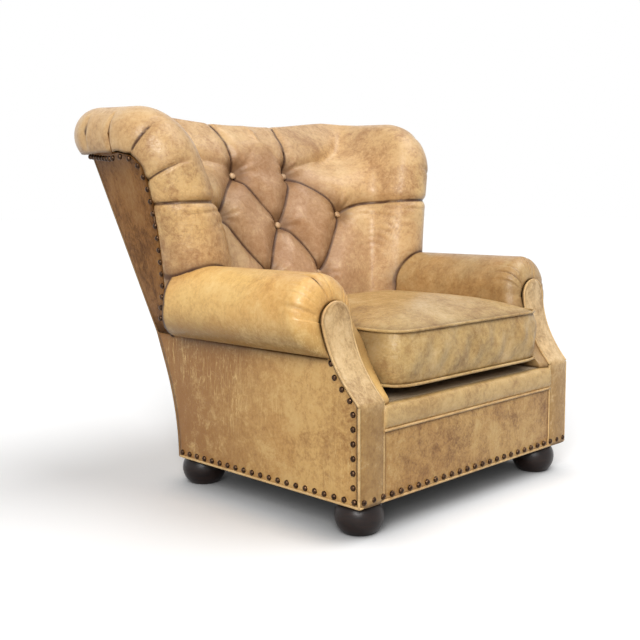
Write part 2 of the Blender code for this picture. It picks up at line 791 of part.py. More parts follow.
def build_facings(leather):
    """Front facings: upright to the knee, swept back, with an arched top."""
    sections = [(BASE_UNDERSIDE, FACING_INNER, BASE_FRONT_HALF)]
    for z in sweep_levels():
        share = (z - KNEE_Z) / (ARCH_Z - KNEE_Z)
        inner = FACING_INNER + (ARCH_X - ARCH_R - FACING_INNER) * share
        outer = BASE_FRONT_HALF + (ARCH_X + ARCH_R - BASE_FRONT_HALF) * share
        sections.append((z, inner, outer))
    for degrees in (20, 40, 58, 74, 86):
        angle = math.radians(degrees)
        half = ARCH_R * math.cos(angle)
        sections.append((ARCH_Z + ARCH_R * math.sin(angle), ARCH_X - half, ARCH_X + half))
    for side, sign in SIDES:
        levels = []
        for z, inner, outer in sections:
            front = sweep_y(z)
            levels.append((
                (sign * inner, front, z),
                (sign * outer, front, z),
                (0.0, FRONT_SKIN, 0.0),
            ))
        ruled_panel(named("arm_facing", side), levels, leather)


def arm_section(blend, offset, lean):
    """Outer and inner line of the arm pad's section: the roll with the inside wall, and the hollow.

    blend runs from 0 at the facing's arch to 1 at the full roll, offset is the distance behind
    the facing, and lean is how far the section still follows the facing's sweep.
    """
    def mix(a, b):
        return a + (b - a) * blend

    centre_x, centre_z = mix(ARCH_X, ARM_X), mix(ARCH_Z, ARM_Z)
    radius = mix(ARCH_R, ARM_R)
    lip_reach = ARM_LIP_X + 2 * PANEL - ARM_X
    first = mix(0.0, -math.acos(lip_reach / ARM_R))
    steps = ARM_STEPS
    angles = [first + (math.pi - first) * k / steps for k in range(steps + 1)]
    outer = [(centre_x + radius * math.cos(a), centre_z + radius * math.sin(a)) for a in angles]
    hollow_x = ARM_INNER + ARM_WALL
    hollow_top = BOARD_TOP + SEAT_GAP
    lip_z = min(outer[0][1], hollow_top - PANEL)
    rise = steps // 3
    inner = [(ARM_LIP_X, lip_z + (hollow_top - lip_z) * k / rise) for k in range(rise)]
    for k in range(steps - rise + 1):
        inner.append((ARM_LIP_X + (hollow_x - ARM_LIP_X) * k / (steps - rise), hollow_top))
    roll_x = outer[-1][0]
    wall_x = mix(FACING_INNER, ARM_INNER)
    for z in sweep_levels()[-2::-1] + [PAD_UNDERSIDE]:
        share = (centre_z - z) / (centre_z - PAD_UNDERSIDE)
        outer.append((roll_x + (wall_x - roll_x) * share, z))
        inner.append((hollow_x, hollow_top + (PAD_UNDERSIDE - hollow_top) * share))
    top_y = sweep_y(SWEEP_TOP)
    behind = FRONT_SKIN + FACING_PLAY + offset
    depths = [top_y + behind] * (steps + 1)
    depths += [top_y + lean * (sweep_y(z) - top_y) + behind for _, z in outer[steps + 1:]]
    return [[(x, y, z) for (x, z), y in zip(line, depths)] for line in (outer, inner)]


def build_arm_pads(leather):
    """Rolled arms with their padded insides, cut to fit round the wing's rolled edge."""
    length = ARM_REAR_Y - sweep_y(SWEEP_TOP) - FRONT_SKIN
    rows = [(0.0, 0.0, 1.0)]
    for degrees in (25, 50, 72, 90):
        angle = math.radians(degrees)
        rows.append((math.sin(angle), ARM_ROUND * (1 - math.cos(angle)), 1.0))
    rows += [(1.0, share * length, lean) for share, lean in ARM_ROWS]
    facets = 2 * ARM_STEPS
    stations = [k / 8 for k in range(-1, 8)]
    for side, sign in SIDES:
        grids = ([], [])
        for row in rows:
            for grid, line in zip(grids, arm_section(*row)):
                grid.append([(sign * x, y, z) for x, y, z in line])
        pad = shell(named("arm_pad", side), *grids, leather)
        tube = []
        for t in stations:
            radius = roll_radius(t)
            clear = radius - (radius + SEAT_GAP) / math.cos(math.pi / facets)
            ring = [roll_point(t, 2 * math.pi * k / facets, clear) for k in range(facets)]
            tube.append([(sign * p.x, p.y, p.z) for p in ring])
        cut(pad, hide_cutter(loft(named("wing_clearance", side), tube, leather)))
        smooth(pad)


def tuft_depth(x, z):
    """How far the leather is drawn in at a place of the front view: pleats and buttons."""
    top, mid, low = np.array(TUFT_TOP), np.array(TUFT_MID), np.array(TUFT_LOW)
    centre = np.array(TUFT_CENTRE)
    crest = np.array((TUFT_TOP[0], CREST_Z))
    wing = np.array((WING_FOOT[0], TUFT_MID[1] + (TUFT_MID[1] - TUFT_CENTRE[1])))
    seat = np.array((TUFT_LOW[0], BACK_KNEE_Z - TUFT_DEPTH))
    pleats = [(top, centre), (top, mid), (centre, low), (mid, low)]
    pleats += [(top, crest), (mid, wing), (low, seat)]
    place = np.array((abs(x), z))
    nearest = PLEAT_HALF
    for a, b in pleats:
        share = np.clip((place - a) @ (b - a) / ((b - a) @ (b - a)), 0.0, 1.0)
        nearest = min(nearest, np.linalg.norm(place - a - share * (b - a)))
    groove = (1 - nearest / PLEAT_HALF) ** 2
    button = min(np.linalg.norm(place - p) for p in (top, mid, low, centre))
    dimple = math.exp(-((button / DIMPLE) ** 2))
    return TUFT_DEPTH * (PLEAT_SHARE * groove + (1 - PLEAT_SHARE) * dimple)


def hermite(start, leave, end, arrive, share):
    """Point of the cubic that leaves start along one direction and arrives at end along another."""
    square, cube = share**2, share**3
    return (
        start * (2 * cube - 3 * square + 1)
        + leave * (cube - 2 * square + share)
        + end * (3 * square - 2 * cube)
        + arrive * (cube - square)
    )


def back_row(t):
    """One row of the inside back: its front from the middle to the roll, then its rear side."""
    centre, inward, outward = ROLL.at(t)
    rim = centre - SEAT_GAP * outward
    edge = rim + roll_radius(t) * inward
    height = min(centre.z, TUFT_CENTRE[1])
    spine = Vector((0.0, spine_y(height), height))
    across = edge - spine
    lean = Vector((0.0, -math.cos(INNER_RAKE), math.sin(INNER_RAKE)))
    leave = Vector((1.0, 0.0, 0.0)) * across.length
    if centre.z > TUFT_CENTRE[1]:
        leave = (across - lean * lean.dot(across)).normalized() * across.length
    arrive = outward * (EDGE_DRAW + EDGE_BOW * max(0.0, across.dot(outward)))
    row = []
    for k in range(BACK_COLUMNS):
        share = k / (BACK_COLUMNS - 1)
        point = hermite(spine, leave, edge, arrive, share)
        fade = 1 - share**FRONT_FADE
        row.append(point - lean * (tuft_depth(point.x, point.z) * fade))
    row.append(edge - ROLL_WALL * inward)
    rears = []
    for share in REAR_SHARES:
        fade = 1 - share**REAR_FADE
        point = hermite(spine, leave, edge, arrive, share)
        rears.append((fade, point - inward * (ROLL_WALL * (1 - fade))))
    depth = min((back_plane_y(point.z) - point.y) / fade for fade, point in rears[1:])
    if centre.z > TUFT_CENTRE[1]:
        depth = min(depth, UPPER_DEPTH)
    row += [point + Vector((0.0, depth * fade, 0.0)) for fade, point in rears]
    row.append(Vector((0.0, back_plane_y(height), height)))
    if t == 5:
        row = [Vector((0.0, p.y, p.z)) for p in row]
    return row


def build_inside_back(leather):
    """Tufted inside back between the wings' and crest's rolled edge."""
    pole = ROLL.at_height(TUFT_CENTRE[1])
    kink = ROLL.at_height(CROSS_RAIL_TOP)
    stations = [kink * k / 6 for k in range(7)]
    stations += [kink + (pole - kink) * k / 4 for k in range(1, 5)]
    stations += [pole + (1 - pole) * share for share in (0.4, 0.75, 1.0)]
    stations += [t for t in BEND_STATIONS if t <= 3] + CREST_STATIONS
    rows = [back_row(t) for t in stations]
    bm = bmesh.new()
    grid = [[bm.verts.new(p) for p in row] for row in rows]
    for lower, upper in zip(grid, grid[1:]):
        for i in range(len(lower) - 1):
            bm.faces.new((lower[i], lower[i + 1], upper[i + 1], upper[i]))
    bm.faces.new(grid[0])
    bmesh.ops.remove_doubles(bm, verts=bm.verts, dist=0.00001)
    bmesh.ops.triangulate(bm, faces=bm.faces)
    bmesh.ops.recalc_face_normals(bm, faces=bm.faces)
    mesh = bpy.data.meshes.new("inside_back")
    bm.to_mesh(mesh)
    bm.free()
    piece = bpy.data.objects.new("inside_back", mesh)
    bpy.context.scene.collection.objects.link(piece)
    adopt(piece, leather)
    mirrored(piece)
    smooth(piece)
    return piece


def build_back_roll(leather):
    """Rolled edge up the wings and over the crest, hollow round the frame's sticks."""
    stations = [k / 8 for k in range(9)]
    stations += BEND_STATIONS + CREST_STATIONS
    grids = ([], [])
    for t in stations:
        for grid, wall in zip(grids, (0.0, ROLL_WALL)):
            row = []
            for k in range(ROLL_STEPS + 1):
                angle = roll_end(t) * k / ROLL_STEPS
                lift = 0.0
                if t < 1:
                    lift = ROLL.at_height(LIP_FOOT_Z) * roll_lift(angle) * (1 - t)
                point = roll_point(t + lift, angle, wall)
                row.append((0.0 if t == 5 else point.x, point.y, point.z))
            grid.append(row)
    piece = shell("back_roll", *grids, leather, open_end=True)
    mirrored(piece)
    smooth(piece)


def roll_lift(angle):
    """Share by which the foot of the rolled edge is raised over the arm: none on its inner side."""
    return min(max((angle - LIP_RISE[0]) / (LIP_RISE[1] - LIP_RISE[0]), 0.0), 1.0)


def build_buttons(leather, pad):
    """Covered buttons, each slid along its axis until its rim rests in its dimple."""
    bpy.context.view_layer.update()
    tree = BVHTree.FromObject(pad, bpy.context.evaluated_depsgraph_get())
    axis = Vector((0.0, -math.cos(INNER_RAKE), math.sin(INNER_RAKE)))
    upright = Vector((0.0, math.sin(INNER_RAKE), math.cos(INNER_RAKE)))
    profile = [(0.0, BUTTON_H)]
    for degrees in (65, 40, 15):
        angle = math.radians(degrees)
        profile.append((BUTTON_R * math.cos(angle), BUTTON_H * math.sin(angle)))
    profile += [(BUTTON_R, 0.0), (0.0, 0.0)]
    places = [(-TUFT_TOP[0], TUFT_TOP[1]), TUFT_TOP, (-TUFT_MID[0], TUFT_MID[1]), TUFT_CENTRE]
    places += [TUFT_MID, (-TUFT_LOW[0], TUFT_LOW[1]), TUFT_LOW]
    for number, (x, z) in enumerate(places, start=1):
        hit = tree.ray_cast(Vector((x, FRONT_Y, z)), Vector((0.0, 1.0, 0.0)))[0]
        heights = []
        for k in range(2 * BUTTON_SIDES):
            turn = math.pi * k / BUTTON_SIDES
            rim = math.cos(turn) * Vector((1, 0, 0)) + math.sin(turn) * upright
            for reach in (BUTTON_R / 2, BUTTON_R):
                far = hit + reach * rim + axis * TUFT_DEPTH * 2
                heights.append((tree.ray_cast(far, -axis)[0] - hit).dot(axis))
        button = turned("tuft_button_%d" % number, profile, BUTTON_SIDES, leather)
        button.location = hit + axis * (max(heights) + SEAT_GAP)
        button.rotation_euler = axis.to_track_quat("Z", "Y").to_euler()


def build_seat(leather, cloth):
    """Front edge roll and the padded deck behind it, on the springs."""
    roll = box(
        "front_edge_roll",
        (-FACING_INNER + SEAT_GAP, FRONT_Y - EDGE_ROLL_BULGE, BAND_Z),
        (FACING_INNER - SEAT_GAP, FRONT_Y - EDGE_ROLL_BULGE + EDGE_ROLL_DEPTH, EDGE_ROLL_TOP),
        leather,
    )
    bevel(roll, EDGE_ROLL_ROUND, 4)
    smooth(roll)
    box(
        "seat_deck",
        (-DECK_HALF, FRONT_Y - EDGE_ROLL_BULGE + EDGE_ROLL_DEPTH + SEAT_GAP,
         RAIL_TOP + 2 * WIRE_R + 2 * SEAT_GAP),
        (DECK_HALF, DECK_REAR_Y, DECK_TOP),
        cloth,
    )


def cushion_point(u, v, w, inset):
    """Point of the cushion for a point of the unit cube, drawn in by inset on every side."""
    rear_y_limit = SEAT_BACK_Y - CUSHION_PLAY
    half_y = (rear_y_limit - CUSHION_FRONT_Y) / 2
    middle_y = (rear_y_limit + CUSHION_FRONT_Y) / 2
    corner = CORNER_CUT * (u * v) ** 4
    bulge = BOXING_BULGE * (1 - w * w)
    pull_u = SIDE_PULL * (1 - v * v)
    pull_v = SIDE_PULL * (1 - u * u)
    half_u = CUSHION_HALF - BOXING_BULGE - pull_u + bulge - inset
    half_v = half_y - BOXING_BULGE - pull_v + bulge - inset
    x = half_u * u * (1 - corner)
    y = middle_y + half_v * v * (1 - corner)
    crown = (1 - abs(u) ** CROWN_POWER) * (1 - abs(v) ** CROWN_POWER)
    half_z = (WELT_HIGH - WELT_LOW) / 2 - inset
    low_crown = WELT_LOW - PAD_UNDERSIDE
    z = (WELT_HIGH + WELT_LOW) / 2 + w * half_z
    if w > 0.999:
        z += CROWN * crown
    if w < -0.999:
        z -= low_crown * crown
    return x, y, z


def cushion_cage(name, inset, finish, parent):
    """Cushion form on a subdivided cube."""
    bm = bmesh.new()
    bmesh.ops.create_cube(bm, size=2)
    for axis, cuts in ((2, 4), (0, 11), (1, 11)):
        edges = []
        for edge in bm.edges:
            step = edge.verts[0].co - edge.verts[1].co
            if abs(step[axis]) > 1e-6:
                edges.append(edge)
        bmesh.ops.subdivide_edges(bm, edges=edges, cuts=cuts, use_grid_fill=True)
    return bm, name, inset, finish, parent


def finish_cushion(cage, zip_open):
    """Shapes a cushion cage, with the slit of its zip left open if asked."""
    bm, name, inset, finish, parent = cage
    if zip_open:
        slit = []
        for face in bm.faces:
            middle = face.calc_center_median()
            if middle.y > 0.999 and abs(middle.x) < ZIP_HALF and abs(middle.z) < 0.1:
                slit.append(face)
        bmesh.ops.delete(bm, geom=slit, context="FACES")
    for vert in bm.verts:
        vert.co = cushion_point(*vert.co, inset)
    bmesh.ops.recalc_face_normals(bm, faces=bm.faces)
    mesh = bpy.data.meshes.new(name)
    bm.to_mesh(mesh)
    bm.free()
    piece = bpy.data.objects.new(name, mesh)
    bpy.context.scene.collection.objects.link(piece)
    adopt(piece, finish, parent)
    return piece


def build_cushion(leather, foam):
    """Loose cushion: a cover with a zip slit at the back, round its core."""
    carrier = bpy.data.objects.new("seat_cushion", None)
    CHAIR.objects.link(carrier)
    cover = finish_cushion(cushion_cage("seat_cushion_cover", 0.0, leather, carrier), True)
    wall = cover.modifiers.new("wall", "SOLIDIFY")
    wall.thickness = COVER_WALL
    wall.offset = -1.0
    smooth(cover)
    inset = COVER_WALL + CORE_PLAY
    core = finish_cushion(cushion_cage("seat_cushion_core", inset, foam, carrier), False)
    smooth(core)


def main():
    """Clears the scene and builds the chair."""
    for old in list(bpy.data.objects):
        bpy.data.objects.remove(old, do_unlink=True)
    for collection in (CHAIR, CUTTERS):
        bpy.context.scene.collection.children.link(collection)
    leather = material("tan_leather", (0.42, 0.25, 0.10), 0.45)
    wood = material("frame_wood", (0.55, 0.40, 0.24), 0.7)
    dark_wood = material("stained_wood", (0.035, 0.018, 0.012), 0.35)
    steel = material("steel", (0.45, 0.45, 0.46), 0.35, 1.0)
    webbing = material("jute_webbing", (0.45, 0.36, 0.22), 0.9)
    cloth = material("black_cloth", (0.03, 0.03, 0.03), 0.9)
    foam = material("foam", (0.85, 0.80, 0.62), 0.9)
    rear_rail = build_rails(wood)
    build_posts(wood)
    build_arm_boards(wood)
    build_back_frame(wood, webbing)
    build_feet(rear_rail, wood, dark_wood, steel, cloth)
    build_springs(steel)
    build_panels(leather)
    build_facings(leather)
    build_arm_pads(leather)
    pad = build_inside_back(leather)
    build_back_roll(leather)
    build_buttons(leather, pad)
    build_seat(leather, cloth)
    build_cushion(leather, foam)


main()
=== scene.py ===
"""Leather wingback armchair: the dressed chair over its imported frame.

Metres, +Z up, the chair facing -Y. Each new piece is a surface worked out with numpy, either a
function of two parameters on a grid or a profile carried along a path.
"""

from __future__ import annotations

import json
import logging
import math
from dataclasses import dataclass
from enum import Enum

import bmesh
import bpy
import numpy as np
from mathutils import Matrix, Vector

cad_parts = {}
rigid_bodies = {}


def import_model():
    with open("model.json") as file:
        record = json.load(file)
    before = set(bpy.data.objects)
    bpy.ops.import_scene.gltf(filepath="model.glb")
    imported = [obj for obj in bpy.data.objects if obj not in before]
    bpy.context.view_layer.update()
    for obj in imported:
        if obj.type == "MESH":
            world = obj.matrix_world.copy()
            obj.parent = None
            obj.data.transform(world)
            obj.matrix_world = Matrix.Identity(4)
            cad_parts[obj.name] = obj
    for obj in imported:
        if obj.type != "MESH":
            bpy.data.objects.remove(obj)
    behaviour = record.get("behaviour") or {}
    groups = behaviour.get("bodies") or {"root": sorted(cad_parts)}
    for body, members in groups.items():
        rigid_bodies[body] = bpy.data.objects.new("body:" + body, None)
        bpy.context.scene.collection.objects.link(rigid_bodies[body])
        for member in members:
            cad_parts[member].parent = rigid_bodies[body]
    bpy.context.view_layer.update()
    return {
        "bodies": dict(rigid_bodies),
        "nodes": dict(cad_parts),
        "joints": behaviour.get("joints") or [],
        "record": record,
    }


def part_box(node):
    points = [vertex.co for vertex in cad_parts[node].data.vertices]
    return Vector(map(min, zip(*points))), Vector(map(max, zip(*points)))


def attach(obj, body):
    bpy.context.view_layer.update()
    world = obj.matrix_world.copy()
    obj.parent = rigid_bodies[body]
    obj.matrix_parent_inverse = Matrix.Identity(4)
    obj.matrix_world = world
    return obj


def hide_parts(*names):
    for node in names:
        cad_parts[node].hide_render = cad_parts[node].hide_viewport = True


LOG = logging.getLogger("wingback")
CHAIR = "chair"
CUSHION = "seat_cushion"
LEATHER = "tan_leather"
SEAM_GAP = 0.0003
LINE_END = 4.999999
FAR = 9.0
FULL_TURN = 2 * math.pi

Triple = tuple[float, float, float]
Spot = tuple[float, float]
Marks = dict[str, np.ndarray]
NailRow = tuple[np.ndarray, np.ndarray]


class Side(Enum):
    """Side of the chair, as the sign of its x."""

    LEFT = -1
    RIGHT = 1

    def named(self, base: str) -> str:
        """Name of a piece on this side."""
        return base + "_" + self.name.lower()

    @property
    def flip(self) -> np.ndarray:
        """Factors that carry points of the right side to this side."""
        return np.array((float(self.value), 1.0, 1.0))

    @property
    def outward(self) -> np.ndarray:
        """Direction out of this side, for both ends of a row."""
        return np.tile((float(self.value), 0.0, 0.0), (2, 1))


# Arithmetic on arrays of points
def unit(vectors: np.ndarray) -> np.ndarray:
    """Vectors of length one along the last axis."""
    return vectors / np.maximum(np.linalg.norm(vectors, axis=-1, keepdims=True), 1e-12)


def smoothstep(low: float, high: float, value: np.ndarray) -> np.ndarray:
    """Rises from 0 at low to 1 at high, flat at both ends."""
    share = np.clip((value - low) / (high - low), 0.0, 1.0)
    return share * share * (3 - 2 * share)


def lerp(start: np.ndarray | float, end: np.ndarray | float, share: np.ndarray) -> np.ndarray:
    """Straight blend from start at share 0 to end at share 1."""
    return start + (end - start) * share


def bell(value: np.ndarray, width: float) -> np.ndarray:
    """Bell curve: 1 at 0, and 1/e at the width on either side."""
    return np.exp(-((value / width) ** 2))


def cubic(start: np.ndarray, leave: np.ndarray, end: np.ndarray, arrive: np.ndarray,
          s: np.ndarray) -> np.ndarray:
    """Cubic from start to end with given slopes at both, at shares s from 0 to 1."""
    return (start * (2 * s**3 - 3 * s**2 + 1) + leave * (s**3 - 2 * s**2 + s)
            + end * (3 * s**2 - 2 * s**3) + arrive * (s**3 - s**2))


def at_height(flat: np.ndarray, z: float) -> np.ndarray:
    """Points of a plan, of shape (count, 2), at height z."""
    return np.concatenate([flat, np.full((len(flat), 1), z)], axis=1)


def round_turn(count: int) -> np.ndarray:
    """Angles of a full turn at even steps."""
    return np.linspace(0.0, FULL_TURN, count, endpoint=False)


def signed_power(value: np.ndarray, power: float) -> np.ndarray:
    """Power of the size of a value, with its sign kept."""
    return np.sign(value) * np.abs(value) ** power


def grid_normals(grid: np.ndarray) -> np.ndarray:
    """Unit normals of a grid of points: the cross product of its two differences.

    Args:
        grid: Points of shape (rows, columns, 3).

    Returns:
        Normals of the same shape.
    """
    return unit(np.cross(np.gradient(grid, axis=0), np.gradient(grid, axis=1)))


def path_frames(path: np.ndarray, closed: bool, up: np.ndarray) -> tuple[np.ndarray, np.ndarray]:
    """Two directions square to a path: one closest to up, and one across both.

    Args:
        path: Points of shape (count, 3).
        closed: Whether the path returns to its start.
        up: Direction, or one for each point.

    Returns:
        The upward and the sideways directions.
    """
    if closed:
        along = unit(np.roll(path, -1, axis=0) - np.roll(path, 1, axis=0))
    else:
        along = unit(np.gradient(path, axis=0))
    side = unit(np.cross(along, np.broadcast_to(up, path.shape)))
    return np.cross(side, along), side


def run_along(path: np.ndarray) -> np.ndarray:
    """Length of a path from its start to each of its points."""
    steps = np.linalg.norm(np.diff(path, axis=0), axis=1)
    return np.concatenate(([0.0], np.cumsum(steps)))


def resample(path: np.ndarray, count: int) -> np.ndarray:
    """Points at even steps of length along a path.

    Args:
        path: Points of shape (n, 3).
        count: Number of points to return, both ends included.

    Returns:
        Points of shape (count, 3).
    """
    length = run_along(path)
    wanted = np.linspace(0.0, length[-1], count)
    return np.stack([np.interp(wanted, length, path[:, k]) for k in range(3)], axis=1)


def eased(knots: np.ndarray, values: np.ndarray, at: np.ndarray) -> np.ndarray:
    """Smooth rising curve through knots: cubics with harmonic means of the slopes beside them.

    Args:
        knots: Rising places.
        values: Rising values at the knots.
        at: Places to evaluate.

    Returns:
        Values at those places.
    """
    step = np.diff(knots)
    rate = np.diff(values) / step
    inner = 2 * rate[1:] * rate[:-1] / (rate[1:] + rate[:-1])
    slope = np.concatenate([rate[:1], inner, rate[-1:]])
    k = np.clip(np.searchsorted(knots, at, side="right") - 1, 0, len(step) - 1)
    return cubic(values[k], slope[k] * step[k], values[k + 1], slope[k + 1] * step[k],
                 (at - knots[k]) / step[k])


# Meshes
def grid_faces(rows: int, columns: int, wrap: bool = False) -> np.ndarray:
    """Quads of a grid of points numbered row by row.

    Args:
        rows: Rows of points.
        columns: Points in a row.
        wrap: Whether the last column joins the first.

    Returns:
        Point numbers of shape (quads, 4).
    """
    across = columns if wrap else columns - 1
    i, j = np.meshgrid(np.arange(rows - 1), np.arange(across), indexing="ij")
    k = (j + 1) % columns
    near, far = i * columns, (i + 1) * columns
    return np.stack([near + j, near + k, far + k, far + j], -1).reshape(-1, 4)


def make_mesh(name: str, points: np.ndarray, quads: np.ndarray, marks: Marks | None = None,
              weld: float = 1e-5, caps: tuple[np.ndarray, ...] = ()) -> bpy.types.Object:
    """Closed, smooth mesh object at the origin.

    Args:
        name: Name of the piece.
        points: Points, with three numbers along the last axis.
        quads: Point numbers of shape (m, 4).
        marks: Values for each point, kept as attributes for the materials.
        weld: Distance within which points become one.
        caps: Point numbers of single faces that close openings.

    Returns:
        The new object, with its faces turned outwards.
    """
    mesh = bpy.data.meshes.new(name)
    mesh.vertices.add(points.size // 3)
    mesh.vertices.foreach_set("co", np.ascontiguousarray(points, dtype=np.float32).ravel())
    corners = np.concatenate([quads.ravel(), *caps]).astype(np.int32)
    mesh.loops.add(len(corners))
    mesh.loops.foreach_set("vertex_index", corners)
    sizes = np.concatenate([np.full(len(quads), 4), [len(cap) for cap in caps]])
    mesh.polygons.add(len(sizes))
    mesh.polygons.foreach_set("loop_start", (np.cumsum(sizes) - sizes).astype(np.int32))
    mesh.update(calc_edges=True)
    add_marks(mesh, marks or {})
    work = bmesh.new()
    work.from_mesh(mesh)
    bmesh.ops.remove_doubles(work, verts=work.verts, dist=weld)
    bmesh.ops.dissolve_degenerate(work, edges=work.edges, dist=weld / 10)
    bmesh.ops.recalc_face_normals(work, faces=work.faces)
    work.to_mesh(mesh)
    work.free()
    mesh.shade_smooth()
    piece = bpy.data.objects.new(name, mesh)
    bpy.context.scene.collection.objects.link(piece)
    return piece


def add_marks(mesh: bpy.types.Mesh, marks: Marks) -> None:
    """Keeps values for each point of a mesh as attributes that the materials read."""
    for key, values in marks.items():
        layer = mesh.attributes.new(key, "FLOAT", "POINT")
        layer.data.foreach_set("value", np.ascontiguousarray(values, dtype=np.float32).ravel())


def slab(name: str, front: np.ndarray, back: np.ndarray, marks: Marks) -> bpy.types.Object:
    """Closed skin between two grids of equal size, joined along their rims.

    Args:
        name: Name of the piece.
        front: Points of shape (rows, columns, 3).
        back: Points of the same shape, behind the front.
        marks: Values on the front grid, which the back repeats.

    Returns:
        The new object.
    """
    rows, columns = front.shape[:2]
    count = rows * columns
    quads = grid_faces(rows, columns)
    index = np.arange(count).reshape(rows, columns)
    rim = np.concatenate([index[0], index[1:, -1], index[-1, -2::-1], index[-2:0:-1, 0]])
    after = np.roll(rim, -1)
    border = np.stack([rim, after, after + count, rim + count], axis=1)
    faces = np.concatenate([quads, quads[:, ::-1] + count, border])
    points = np.concatenate([front.reshape(-1, 3), back.reshape(-1, 3)])
    both = {key: np.tile(values.ravel(), 2) for key, values in marks.items()}
    return make_mesh(name, points, faces, both)


def tube(name: str, paths: list[np.ndarray], radius: float, closed: bool = False,
         sides: int = 8) -> bpy.types.Object:
    """Round cords along paths, capped at their ends: a circle carried along each path.

    Args:
        name: Name of the piece.
        paths: Paths of shape (n, 3).
        radius: Radius of the cord.
        closed: Whether each path returns to its start.
        sides: Points round the cord.

    Returns:
        The new object.
    """
    turn = round_turn(sides)
    points, faces, used = [], [], 0
    for path in paths:
        up, side = path_frames(path, closed, np.array((0.13, 0.21, 0.97)))
        size = np.full(len(path), radius)
        if not closed:
            path, up, side = (np.concatenate([a[:1], a, a[-1:]]) for a in (path, up, side))
            size = np.concatenate([[0.0], size, [0.0]])
        ring = np.cos(turn)[:, None] * up[:, None] + np.sin(turn)[:, None] * side[:, None]
        grid = path[:, None] + size[:, None, None] * ring
        if closed:
            grid = np.concatenate([grid, grid[:1]])
        points.append(grid.reshape(-1, 3))
        faces.append(grid_faces(len(grid), sides, wrap=True) + used)
        used += grid.shape[0] * sides
    return make_mesh(name, np.concatenate(points), np.concatenate(faces), weld=1e-6)


def rim_mark(grid: np.ndarray, reach: float) -> np.ndarray:
    """Mark that is 1 along the rim of a grid and falls off inwards as a bell over the reach."""
    marks = np.zeros(grid.shape[:2])
    for axis in (0, 1):
        steps = np.linalg.norm(np.diff(grid, axis=axis), axis=-1)
        run = np.insert(np.cumsum(steps, axis=axis), 0, 0.0, axis=axis)
        away = np.minimum(run, run.max(axis=axis, keepdims=True) - run)
        marks = np.maximum(marks, bell(away, reach))
    return marks


# Lines of the chair
@dataclass(frozen=True)
class ChairLines:
    """Sizes and curves that several pieces share."""

    front_y: float = -0.4925
    rear_foot_y: float = 0.1665
    front_half: float = 0.4286
    rear_half_width: float = 0.409
    underside: float = 0.0768
    band_z: float = 0.2396
    deck_top: float = 0.2973
    rear_curve: float = 0.243
    rake: float = math.radians(22.5)
    splay_z: float = 0.868
    splay_half: float = 0.465
    wing_seam_z: float = 0.4036
    facing_inner: float = 0.347
    knee_z: float = 0.3068
    sweep: float = 0.092
    sweep_top: float = 0.520
    sweep_power: float = 2.25
    seat_back_y: float = 0.0575
    back_knee_z: float = 0.470
    back_knee_soft: float = 0.030
    inner_rake: float = math.radians(28)
    skin: float = 0.006
    front_skin: float = 0.008

    def side_x(self, y: np.ndarray) -> np.ndarray:
        """Half width of the base at depth y, on a straight taper."""
        share = (y - self.front_y) / (self.rear_foot_y - self.front_y)
        return lerp(self.front_half, self.rear_half_width, share)

    def rear_y(self, z: np.ndarray) -> np.ndarray:
        """Outer face of the back at height z: a parabola that runs into a straight rake."""
        rise = np.asarray(z) - self.underside
        slope = math.tan(self.rake)
        curved = slope * rise * rise / (2 * self.rear_curve)
        straight = slope * (rise - self.rear_curve / 2)
        return self.rear_foot_y + np.where(rise < self.rear_curve, curved, straight)

    def rear_half(self, z: np.ndarray) -> np.ndarray:
        """Half width of the back at height z: upright to the arm seam, then splayed."""
        rise = (np.asarray(z) - self.wing_seam_z) / (self.splay_z - self.wing_seam_z)
        return lerp(self.rear_half_width, self.splay_half, np.maximum(0.0, rise))

    def sweep_y(self, z: np.ndarray) -> np.ndarray:
        """Front of the facing at height z: upright to the knee, then swept back by a power."""
        rise = np.clip((np.asarray(z) - self.knee_z) / (self.sweep_top - self.knee_z), 0.0, 1.0)
        return self.front_y + self.sweep * (1 - (1 - rise) ** self.sweep_power)

    def spine_y(self, z: np.ndarray) -> np.ndarray:
        """Front of the inside back on the middle line: upright, then raked, with a soft knee."""
        lean = self.back_knee_soft * np.logaddexp(0.0, (z - self.back_knee_z) / self.back_knee_soft)
        return self.seat_back_y + math.tan(self.inner_rake) * lean

    def back_axis(self) -> np.ndarray:
        """Direction square to the raked inside back, towards the sitter."""
        return np.array((0.0, -math.cos(self.inner_rake), math.sin(self.inner_rake)))


